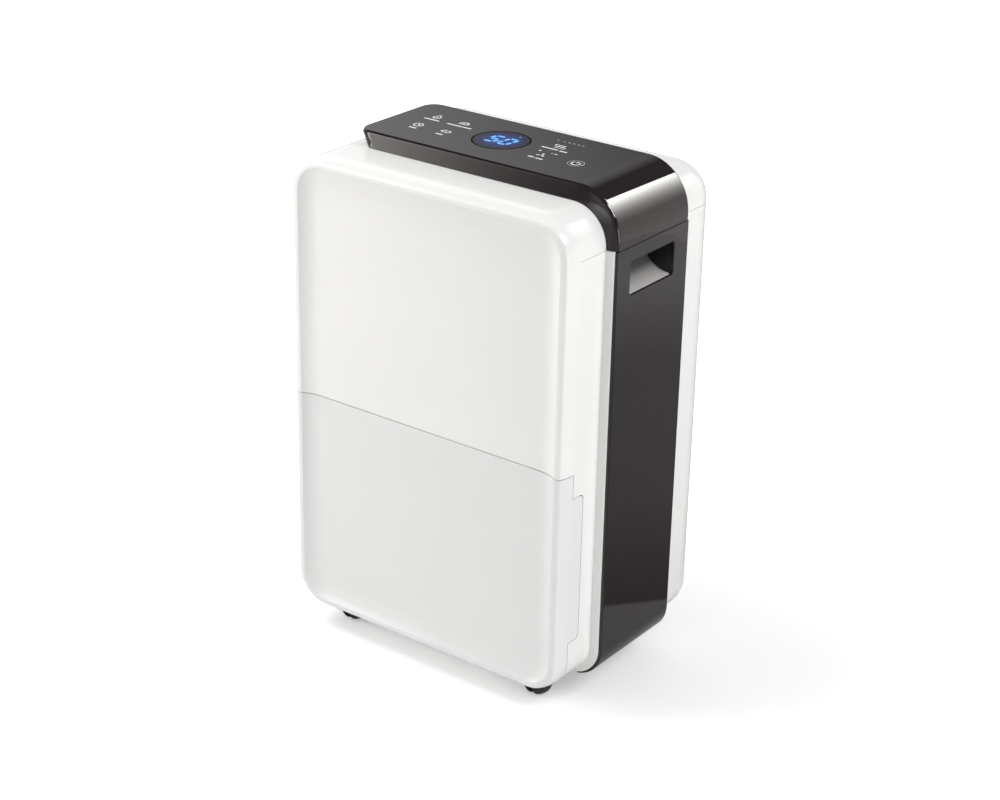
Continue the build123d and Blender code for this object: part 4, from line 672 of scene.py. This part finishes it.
class DEHUMIDIFIER_OT_display(bpy.types.Operator):
    """Dark round glass with lit seven-segment figures"""

    bl_idname = "dehumidifier.display"
    bl_label = "Display"

    def light_up(self, material, colour):
        shader = material.node_tree.nodes["Principled BSDF"]
        shader.inputs["Emission Strength"].default_value = 1.0
        material.node_tree.links.new(colour, shader.inputs["Emission Color"])
        return material

    def glass_material(self, finish):
        """Black glass with a blue glow round its middle"""
        material = moulded(
            "Display glass", finish.glass_black, roughness=0.06, spread=0.02, depth=0.0,
            specular_ior_level=0.13)
        tree = material.node_tree
        mapping = tree.nodes.new("ShaderNodeMapping")
        mapping.inputs["Location"].default_value = (-LENS_MIDDLE[0], -LENS_MIDDLE[1], -TOP)
        tree.links.new(object_coordinates(tree), mapping.inputs["Vector"])
        away = vector_node(tree, "LENGTH", mapping.outputs["Vector"])
        glow = range_node(tree, away, *GLASS_GLOW_REACH, smooth=True)
        return self.light_up(material, mix_node(tree, glow, grey(0.0), GLASS_GLOW))

    def light_material(self, name, dark, light):
        """Light that glimmers between two colours"""
        material = moulded(name, dark, roughness=0.3, depth=0.0)
        tree = material.node_tree
        cloud = noise_node(tree, object_coordinates(tree), GLIMMER_DETAIL, GLIMMER_SCALE)
        return self.light_up(material, mix_node(tree, cloud, dark, light))

    def figure(self, marks, segments, left, bottom, sizes, stroke):
        gap = sizes.digit_stroke * SEGMENT_GAP
        lean = math.tan(sizes.digit_slant)
        for name in segments:
            start, end = [
                Vector((x * sizes.digit_width, y * sizes.digit_height)) for x, y in SEGMENTS[name]]
            step = (end - start).normalized() * gap
            spots = [
                (left + spot.x + spot.y * lean, bottom + spot.y)
                for spot in (start + step, end - step)]
            marks.bar(*spots, stroke)

    def figures(self, marks, sizes, stroke):
        lean = math.tan(sizes.digit_slant) * sizes.digit_height
        left = LENS_MIDDLE[0] - sizes.digit_width - sizes.digit_gap / 2 - lean / 2
        right = left + sizes.digit_width + sizes.digit_gap
        bottom = LENS_MIDDLE[1] - sizes.digit_height / 2
        self.figure(marks, FIVE, left, bottom, sizes, stroke)
        self.figure(marks, ZERO, right, bottom, sizes, stroke)

    def execute(self, context):
        finish = context.scene.dehumidifier_finish
        sizes = context.scene.dehumidifier_sizes
        face = TOP - sizes.mark_depth
        low = face - PRINT_SINK
        radius = (LENS_HIGH[0] - LENS_LOW[0]) / 2
        blue = finish.glow_blue
        glass = bmesh.new()
        disc_shape(glass, radius, LENS_LOW[2], face, LENS_MIDDLE, GLASS_SEGMENTS)
        soften(glass, GLASS_EDGE)
        smooth_faces(glass)
        glass_black = self.glass_material(finish)
        even_shading(place_piece(
            "display_glass", glass, glass_black, "cabinet", "display_lens", "display_lens"))
        rim = Marks(low, face + RIM_LIFT)
        rim.arc(LENS_MIDDLE, radius - sizes.lens_rim / 2, sizes.lens_rim, 0.0, 360.0)
        rim_black = moulded(
            "Lens rim black", shade(finish.band_black, RIM_SHADE), roughness=0.55, depth=0.0,
            specular_ior_level=0.0)
        place_piece("display_rim", rim.finished(), rim_black, "cabinet", "display_lens")
        halo = Marks(low, face + HALO_LIFT)
        self.figures(halo, sizes, sizes.halo_stroke)
        halo_light = self.light_material(
            "Figure halo", *(shade(blue, factor) for factor in HALO_SHADES))
        place_piece("display_halo", halo.finished(), halo_light, "cabinet", "display_lens")
        marks = Marks(low, TOP)
        self.figures(marks, sizes, sizes.digit_stroke)
        marks.dot([a + b for a, b in zip(LENS_MIDDLE, SIGN_DOT)], SIGN_DOT_RADIUS)
        figure_light = self.light_material("Lit figures", shade(blue, FIGURE_SHADE), FIGURE_LIGHT)
        place_piece("display_figures", marks.finished(), figure_light, "cabinet", "display_lens")
        return {"FINISHED"}


# Bars under the touch marks: left end, right end and place from front to rear
MARK_BARS = (
    (-0.1004, -0.0819, 0.0035), (-0.0719, -0.0430, 0.0033), (-0.0932, -0.0848, -0.0285),
    (-0.0608, -0.0523, -0.0286), (0.0403, 0.0590, 0.0030), (0.0609, 0.0697, 0.0022),
    (0.0475, 0.0539, -0.0282), (0.0561, 0.0645, -0.0290))
# Row of short strokes behind the right-hand marks: left ends and lengths
STROKE_ROW = 0.0286
ROW_STROKES = (
    (0.0405, 0.0016), (0.0475, 0.0018), (0.0530, 0.0026), (0.0585, 0.0018), (0.0635, 0.0024),
    (0.0690, 0.0020))
WAVE_STEPS = (-0.0042, 0.0, 0.0042)
BLADE_LENGTH = 0.0050
BLADE_TURNS = tuple(math.radians(angle) for angle in (90.0, 210.0, 330.0))
# Each touch mark has a middle on the panel and strokes round it. An arc has a middle, a radius, two
# angles and a weight, a bar two ends and a weight, and a dot a middle and a radius. The weight is
# the share of the mark line.
DROP_MARK = ((-0.0915, 0.0135), (
    ("arc", (0.0, -0.0012), 0.0036, (150.0, 390.0), 1.0),
    ("bar", (-0.0031, 0.0006), (0.0, 0.0058), 1.0),
    ("bar", (0.0031, 0.0006), (0.0, 0.0058), 1.0),
    ("dot", (0.0, -0.0012), 0.0011)))
TIMER_MARK = ((-0.0902, -0.0180), (
    ("arc", (0.0, 0.0), 0.0046, (0.0, 360.0), 1.0),
    ("bar", (0.0, 0.0), (0.0, 0.0050), 1.0),
    ("bar", (0.0, 0.0), (0.0026, -0.0014), 1.0)))
DOME_MARK = ((-0.0580, 0.0135), (
    ("arc", (0.0, -0.0022), 0.0050, (0.0, 180.0), 1.0),
    ("bar", (-0.0055, -0.0026), (0.0055, -0.0026), 1.0),
    ("dot", (-0.0014, 0.0), 0.0010),
    ("dot", (0.0018, 0.0), 0.0010)))
SWIRL_MARK = ((-0.0565, -0.0185), (
    ("arc", (-0.0022, 0.0004), 0.0026, (20.0, 300.0), 1.0),
    ("arc", (0.0024, 0.0), 0.0027, (200.0, 480.0), 1.0)))
WAVE_MARK = ((0.0545, 0.0130), tuple(
    ("arc", (step, rise), 0.0024, angles, 0.85) for step in WAVE_STEPS
    for rise, angles in ((-0.0024, (-80.0, 80.0)), (0.0024, (100.0, 260.0)))))
FAN_MARK = ((0.0555, -0.0185), (
    *(("bar", (0.0, 0.0), (BLADE_LENGTH * math.cos(turn), BLADE_LENGTH * math.sin(turn)), 1.3)
      for turn in BLADE_TURNS),
    ("dot", (0.0, 0.0), 0.0013)))
SMALL_MARKS = ((0.0, 0.0), (
    ("bar", (0.0452, -0.0078), (0.0478, -0.0078), 1.6),
    ("dot", (0.0604, -0.0086), 0.0007),
    ("bar", (0.0630, -0.0086), (0.0666, -0.0086), 1.0),
    *(("bar", (x, STROKE_ROW), (x + length, STROKE_ROW), 0.7) for x, length in ROW_STROKES)))
POWER_MARK = ((0.0945, -0.0185), (
    ("arc", (0.0, 0.0), 0.0042, (135.0, 405.0), 0.9),
    ("bar", (0.0, 0.0014), (0.0, 0.0058), 0.9),
    ("arc", (0.0, 0.0), 0.0078, (0.0, 360.0), 0.26)))
TOUCH_MARKS = (
    DROP_MARK, TIMER_MARK, DOME_MARK, SWIRL_MARK, WAVE_MARK, FAN_MARK, SMALL_MARKS, POWER_MARK)


class DEHUMIDIFIER_OT_panel_marks(bpy.types.Operator):
    """Printed touch marks and bars on the control panel"""

    bl_idname = "dehumidifier.panel_marks"
    bl_label = "Panel Marks"

    def touch_mark(self, marks, middle, strokes, line):
        def spot(offset):
            return (middle[0] + offset[0], middle[1] + offset[1])

        for kind, first, second, *rest in strokes:
            if kind == "arc":
                (start, end), weight = rest
                marks.arc(spot(first), second, line * weight, start, end)
            elif kind == "bar":
                marks.bar(spot(first), spot(second), line * rest[0])
            else:
                marks.dot(spot(first), second)

    def execute(self, context):
        finish = context.scene.dehumidifier_finish
        sizes = context.scene.dehumidifier_sizes
        ink = moulded("Printed white", finish.mark_white, roughness=0.35, depth=0.0, tint=0.92)
        marks = Marks(TOP - sizes.mark_depth - PRINT_SINK, TOP)
        for left, right, y in MARK_BARS:
            marks.bar((left, y), (right, y), sizes.bar_line)
        for middle, strokes in TOUCH_MARKS:
            self.touch_mark(marks, middle, strokes, sizes.mark_line)
        place_piece("panel_marks", marks.finished(), ink, "cabinet", "black_panel")
        return {"FINISHED"}


FRAME_SHADE = 1.6


class DEHUMIDIFIER_OT_rear_side(bpy.types.Operator):
    """Filter with its net, rear screws, drain plug and cord gland"""

    bl_idname = "dehumidifier.rear_side"
    bl_label = "Rear Side"

    def net_shape(self, sizes):
        """Upright threads in front of level ones"""
        low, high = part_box("filter_mesh")
        net = bmesh.new()
        y = (low[1] + high[1]) / 2
        half = sizes.net_thread / 2
        for index in range(int((high[0] - low[0]) / sizes.net_pitch) + 1):
            x = low[0] + half + index * sizes.net_pitch
            box_shape(net, (x - half, y - half, low[2]), (x + half, y, high[2]))
        for index in range(int((high[2] - low[2]) / sizes.net_pitch) + 1):
            z = low[2] + half + index * sizes.net_pitch
            box_shape(net, (low[0], y, z - half), (high[0], y + half, z + half))
        return net

    def execute(self, context):
        finish = context.scene.dehumidifier_finish
        sizes = context.scene.dehumidifier_sizes
        frame_black = moulded(
            "Filter frame black", shade(finish.net_black, FRAME_SHADE), roughness=0.45)
        net_black = moulded("Filter net black", finish.net_black, roughness=0.65, depth=0.0)
        rubber = moulded(
            "Soft rubber", (0.022, 0.022, 0.022), roughness=0.70, depth=0.00005, grain=500.0)
        zinc = drawn("Zinc screws", (0.58, 0.58, 0.57), roughness=0.30, scale=300.0)
        coat_nodes(frame_black, "filter_frame")
        coat_nodes(rubber, "drain_plug", "cord_gland", "compressor_grommets")
        coat_nodes(zinc, "rear_screws", "compressor_bolts")
        net = self.net_shape(sizes)
        place_piece("filter_net", net, net_black, "filter", "filter_mesh", "filter_mesh")
        return {"FINISHED"}


class DEHUMIDIFIER_OT_inner_works(bpy.types.Operator):
    """Coils, compressor, fan, boards and inner mouldings"""

    bl_idname = "dehumidifier.inner_works"
    bl_label = "Inner Works"

    def fin_pack(self, node, material, sizes):
        low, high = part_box(node)
        pack = bmesh.new()
        step = (high[0] - low[0] - sizes.fin_thick) / (sizes.fin_count - 1)
        for index in range(sizes.fin_count):
            x = low[0] + index * step
            box_shape(pack, (x, low[1], low[2]), (x + sizes.fin_thick, high[1], high[2]))
        place_piece(node + "_pack", pack, material, "cabinet", "fins", node)

    def execute(self, context):
        finish = context.scene.dehumidifier_finish
        sizes = context.scene.dehumidifier_sizes
        grey_plastic = moulded(
            "Inner grey plastic", finish.inner_grey, roughness=0.42, depth=0.00002, tint=0.90,
            grain=700.0)
        base = moulded(
            "Base dark plastic", finish.base_grey, roughness=0.50, depth=0.00003, tint=0.85,
            grain=600.0)
        copper = drawn("Copper tube", (0.72, 0.30, 0.16), roughness=0.22, scale=60.0)
        fins = drawn(
            "Fin aluminium", (0.70, 0.71, 0.72), roughness=0.30, stretch=(1.0, 1.0, 0.06),
            scale=500.0)
        steel = drawn(
            "Plated steel", (0.52, 0.52, 0.51), roughness=0.34, stretch=(1.0, 1.0, 0.1),
            scale=220.0)
        can = moulded(
            "Black can paint", (0.016, 0.016, 0.017), roughness=0.32, depth=0.00006, grain=260.0)
        motor = drawn(
            "Motor casing", (0.45, 0.45, 0.46), roughness=0.38, stretch=(1.0, 0.1, 1.0),
            scale=160.0)
        cream = moulded("Cream moulding", (0.62, 0.60, 0.53), roughness=0.45, tint=0.9)
        board = finish_material(
            "Circuit board", "Board tracks", {"Track Scale": 130.0}, depth=0.00003)
        coat_nodes(
            grey_plastic, "bulkhead", "deck", "drip_tray", "drain_spigot", "fan_orifice",
            "fan_scroll", "fan_wheel", "display_housing", "control_box", "control_box_cover")
        coat_nodes(base, "base_pan")
        coat_nodes(
            copper, "evaporator_tubes", "condenser_tubes", "discharge_pipe", "suction_pipe",
            "capillary_tube")
        coat_nodes(steel, "coil_end_plates", "motor_shaft", "motor_bracket")
        coat_nodes(can, "compressor")
        coat_nodes(motor, "fan_motor")
        coat_nodes(cream, "run_capacitor", "reed_switch")
        coat_nodes(board, "display_board", "main_board")
        self.fin_pack("evaporator_fins", fins, sizes)
        self.fin_pack("condenser_fins", fins, sizes)
        return {"FINISHED"}


class DEHUMIDIFIER_OT_casters(bpy.types.Operator):
    """Black swivel casters"""

    bl_idname = "dehumidifier.casters"
    bl_label = "Casters"

    def execute(self, context):
        finish = context.scene.dehumidifier_finish
        yoke = moulded("Caster yoke black", finish.caster_black, roughness=0.35)
        wheel = moulded("Caster wheel black", finish.caster_black, roughness=0.28, spread=0.1)
        for tag in CASTERS:
            coat_nodes(yoke, "caster_yoke_" + tag)
            coat_nodes(wheel, "caster_wheels_" + tag)
        return {"FINISHED"}


# Floor: fade round the part, and greys along the direction in which the side mirrors it; the greys
# are a painted shadow of the part, with a painted bright band nearest it, seen only in reflections
FLOOR_ROUGHNESS = 0.9
FLOOR_SHINE = 0.1
FLOOR_FADE = (0.55, 1.3)
FLOOR_NEAR_GLOW = 0.36
FLOOR_ALONG = (0.547, 0.436, 0.0)
FLOOR_PAINTED_SHADE_GREYS = (
    (0.193, 0.70), (0.195, 0.15), (0.35, 0.30), (0.49, 0.34), (0.63, 0.38), (0.72, 0.58),
    (0.84, 0.90))
# Cards: width and height, place, and how the glow falls off
CARD_COLOUR = (1.0, 0.98, 0.95)
RIGHT_SIZE = (0.88, 1.66)
RIGHT_PLACE = (0.91, 1.1, 0.80)
RIGHT_LEAN = 0.82
RIGHT_REACH = (0.50, -0.66)
RIGHT_FALL = 2.1
LEFT_SIZE = (1.4, 1.2)
LEFT_PLACE = (-1.3, -1.3, 0.85)
LEFT_REACH = (-0.60, -1.32)
LEFT_FALL = 2.0
LEFT_DIM = 0.2
# Room that gloss mirrors: a low ring, and over it dark with a glow at the left rear
ROOM_EDGE = (0.18, 0.26)
ROOM_REAR = (-0.3, 0.3)
RING_FRONT = 0.20
RING_REAR = 0.95
GLOW_LEFT = (0.768, 0.990)
GLOW_CEILING = (0.62, 0.54)
ROOM_DARK = 0.04
WHITE = (1.0, 1.0, 1.0)
# Lamps: name, power, place, target, width and height, and whether gloss mirrors them
TARGET = (0.0, 0.0, 0.27)
KEY_PLACE = (-0.95, -0.5, 2.2)
KEY_SIZE = (1.2, 1.2)
LAMPS = (
    ("Key lamp", "key_power", KEY_PLACE, TARGET, KEY_SIZE, False),
    ("Shine lamp", "shine_power", KEY_PLACE, TARGET, KEY_SIZE, True),
    ("Side lamp", "side_power", (1.75, 0.2, 1.95), TARGET, (1.0, 1.0), True),
    ("Low lamp", "low_power", (1.6, -0.25, 0.35), TARGET, (0.9, 0.6), True),
    ("Fill lamp", "fill_power", (1.0, -1.3, 0.12), (0.1, -0.1, 0.12), (0.5, 0.2), False),
)
SENSOR_WIDTH = 36.0
CLIP_END = 100.0


class DEHUMIDIFIER_OT_stage(bpy.types.Operator):
    """White floor, soft lamps and the camera"""

    bl_idname = "dehumidifier.stage"
    bl_label = "Stage"

    def floor_material(self, stage):
        """White floor that shows painted shadow greys where gloss mirrors it"""
        material = bpy.data.materials.new("White floor")
        material.use_nodes = True
        tree = material.node_tree
        shader = tree.nodes["Principled BSDF"]
        shader.inputs["Roughness"].default_value = FLOOR_ROUGHNESS
        shader.inputs["Specular IOR Level"].default_value = FLOOR_SHINE
        place = object_coordinates(tree)
        path = tree.nodes.new("ShaderNodeLightPath")
        # Painted shadow: glossy rays see the floor darker near the part, with a painted bright band
        # closest to it
        painted_shade_greys = ramp_node(tree, vector_node(tree, "DOT_PRODUCT", place, FLOOR_ALONG), FLOOR_PAINTED_SHADE_GREYS)
        colour = mix_node(tree, path.outputs["Is Glossy Ray"], stage.floor_white, painted_shade_greys)
        tree.links.new(colour, shader.inputs["Base Color"])
        away = vector_node(tree, "LENGTH", place)
        far = range_node(tree, away, *FLOOR_FADE, smooth=True, start=FLOOR_NEAR_GLOW)
        glow = tree.nodes.new("ShaderNodeEmission")
        seen = math_node(tree, "MULTIPLY", path.outputs["Is Camera Ray"], far)
        tree.links.new(seen, glow.inputs["Strength"])
        both = tree.nodes.new("ShaderNodeAddShader")
        tree.links.new(shader.outputs["BSDF"], both.inputs[0])
        tree.links.new(glow.outputs["Emission"], both.inputs[1])
        tree.links.new(both.outputs["Shader"], tree.nodes["Material Output"].inputs["Surface"])
        return material

    def card_material(self, name, strength):
        """Glow whose strength the given function works out from the place"""
        material = bpy.data.materials.new(name)
        material.use_nodes = True
        tree = material.node_tree
        tree.nodes.remove(tree.nodes["Principled BSDF"])
        glow = tree.nodes.new("ShaderNodeEmission")
        glow.inputs["Color"].default_value = rgba(CARD_COLOUR)
        axes = split_axes(tree, object_coordinates(tree))
        tree.links.new(strength(tree, axes), glow.inputs["Strength"])
        tree.links.new(glow.outputs["Emission"], tree.nodes["Material Output"].inputs["Surface"])
        return material

    def fading_glow(self, tree, along, reach, fall, bright, dim):
        near = range_node(tree, along, *reach)
        fade = math_node(tree, "POWER", near, fall)
        return math_node(tree, "ADD", math_node(tree, "MULTIPLY", fade, bright), dim)

    def right_glow(self, tree, axes):
        stage = bpy.context.scene.dehumidifier_stage
        lift = math_node(tree, "MULTIPLY", axes["Z"], RIGHT_LEAN)
        along = math_node(tree, "SUBTRACT", axes["X"], lift)
        bright = stage.card_bright - stage.card_dim
        return self.fading_glow(tree, along, RIGHT_REACH, RIGHT_FALL, bright, stage.card_dim)

    def left_glow(self, tree, axes):
        bright = bpy.context.scene.dehumidifier_stage.left_glow
        return self.fading_glow(tree, axes["X"], LEFT_REACH, LEFT_FALL, bright, LEFT_DIM)

    def sheet(self, name, material, size, turn, place):
        shape = bmesh.new()
        bmesh.ops.create_grid(shape, x_segments=1, y_segments=1, size=1.0)
        bmesh.ops.scale(shape, vec=(size[0] / 2, size[1] / 2, 1.0), verts=shape.verts)
        bmesh.ops.rotate(
            shape, cent=ORIGIN, matrix=Matrix.Rotation(turn, 3, "X"), verts=shape.verts)
        bmesh.ops.translate(shape, vec=place, verts=shape.verts)
        sheet = linked_object(name, shape, material)
        return sheet

    def sky(self, stage):
        """White to the camera, even light on the part, and a shaped room where gloss mirrors it"""
        world = bpy.data.worlds.new("Studio")
        world.use_nodes = True
        tree = world.node_tree
        path = tree.nodes.new("ShaderNodeLightPath")
        axes = split_axes(tree, tree.nodes.new("ShaderNodeTexCoord").outputs["Generated"])
        height = range_node(tree, axes["Z"], *ROOM_EDGE, smooth=True)
        rear = range_node(tree, axes["Y"], *ROOM_REAR)
        ring = mix_node(tree, rear, grey(RING_FRONT), grey(RING_REAR))
        slope = math_node(tree, "SUBTRACT", axes["Z"], axes["X"])
        left = range_node(tree, slope, *GLOW_LEFT)
        under = range_node(tree, axes["Z"], *GLOW_CEILING)
        glow = math_node(tree, "MULTIPLY", left, under)
        glow = math_node(tree, "MULTIPLY", glow, rear)
        over = mix_node(tree, glow, grey(ROOM_DARK), WHITE)
        room = mix_node(tree, height, ring, over)
        seen = mix_node(tree, path.outputs["Is Camera Ray"], grey(stage.ambient), WHITE)
        shiny = math_node(
            tree, "MAXIMUM", path.outputs["Is Glossy Ray"], path.outputs["Is Transmission Ray"])
        colour = mix_node(tree, shiny, seen, room)
        tree.links.new(colour, tree.nodes["Background"].inputs["Color"])
        bpy.context.scene.world = world

    def lamp(self, name, power, place, target, size, mirrored):
        data = bpy.data.lights.new(name, "AREA")
        data.energy = power
        data.shape = "RECTANGLE"
        data.size, data.size_y = size
        lamp = bpy.data.objects.new(name, data)
        lamp.location = place
        aim = Vector(target) - Vector(place)
        lamp.rotation_euler = aim.to_track_quat("-Z", "Y").to_euler()
        lamp.visible_camera = False
        lamp.visible_glossy = mirrored
        bpy.context.scene.collection.objects.link(lamp)

    def camera(self, stage):
        data = bpy.data.cameras.new("Camera")
        data.sensor_fit = "HORIZONTAL"
        data.sensor_width = SENSOR_WIDTH
        data.lens = stage.camera_lens
        data.clip_end = CLIP_END
        camera = bpy.data.objects.new("Camera", data)
        right = Vector(stage.camera_right).normalized()
        up = Vector(stage.camera_up).normalized()
        turn = Matrix((right, up, right.cross(up))).transposed().to_4x4()
        camera.matrix_world = Matrix.Translation(stage.camera_place) @ turn
        bpy.context.scene.collection.objects.link(camera)
        bpy.context.scene.camera = camera

    def execute(self, context):
        stage = context.scene.dehumidifier_stage
        context.scene.view_settings.view_transform = "Standard"
        floor_size = (stage.floor_size, stage.floor_size)
        self.sheet("floor", self.floor_material(stage), floor_size, 0.0, ORIGIN)
        right_card = self.card_material("Right card", self.right_glow)
        right = self.sheet("right_card", right_card, RIGHT_SIZE, UPRIGHT, RIGHT_PLACE)
        right.visible_camera = False
        right.visible_diffuse = False
        left_card = self.card_material("Left card", self.left_glow)
        left = self.sheet("left_card", left_card, LEFT_SIZE, UPRIGHT, LEFT_PLACE)
        left.visible_camera = False
        self.sky(stage)
        for name, power, place, target, size, mirrored in LAMPS:
            self.lamp(name, getattr(stage, power), place, target, size, mirrored)
        self.camera(stage)
        return {"FINISHED"}


STEPS = (
    DEHUMIDIFIER_OT_white_shells,
    DEHUMIDIFIER_OT_bucket,
    DEHUMIDIFIER_OT_black_band,
    DEHUMIDIFIER_OT_display,
    DEHUMIDIFIER_OT_panel_marks,
    DEHUMIDIFIER_OT_rear_side,
    DEHUMIDIFIER_OT_inner_works,
    DEHUMIDIFIER_OT_casters,
    DEHUMIDIFIER_OT_stage,
)


class DEHUMIDIFIER_PT_looks(bpy.types.Panel):
    """Lists the steps that dress the dehumidifier"""

    bl_idname = "DEHUMIDIFIER_PT_looks"
    bl_label = "Dehumidifier"
    bl_space_type = "VIEW_3D"
    bl_region_type = "UI"
    bl_category = "Dehumidifier"

    def draw(self, context):
        column = self.layout.column()
        for step in STEPS:
            column.operator(step.bl_idname)


GROUPS = (
    ("dehumidifier_finish", DEHUMIDIFIER_PG_finish),
    ("dehumidifier_sizes", DEHUMIDIFIER_PG_sizes),
    ("dehumidifier_stage", DEHUMIDIFIER_PG_stage),
)


def register():
    for name, group in GROUPS:
        bpy.utils.register_class(group)
        setattr(bpy.types.Scene, name, PointerProperty(type=group))
    for step in STEPS:
        bpy.utils.register_class(step)
    bpy.utils.register_class(DEHUMIDIFIER_PT_looks)


def unregister():
    bpy.utils.unregister_class(DEHUMIDIFIER_PT_looks)
    for step in reversed(STEPS):
        bpy.utils.unregister_class(step)
    for name, group in reversed(GROUPS):
        delattr(bpy.types.Scene, name)
        bpy.utils.unregister_class(group)


def main():
    register()
    build_moulded_group()
    build_drawn_group()
    build_board_group()
    bpy.ops.dehumidifier.white_shells()
    bpy.ops.dehumidifier.bucket()
    bpy.ops.dehumidifier.black_band()
    bpy.ops.dehumidifier.display()
    bpy.ops.dehumidifier.panel_marks()
    bpy.ops.dehumidifier.rear_side()
    bpy.ops.dehumidifier.inner_works()
    bpy.ops.dehumidifier.casters()
    bpy.ops.dehumidifier.stage()


if __name__ == "__main__":
    main()
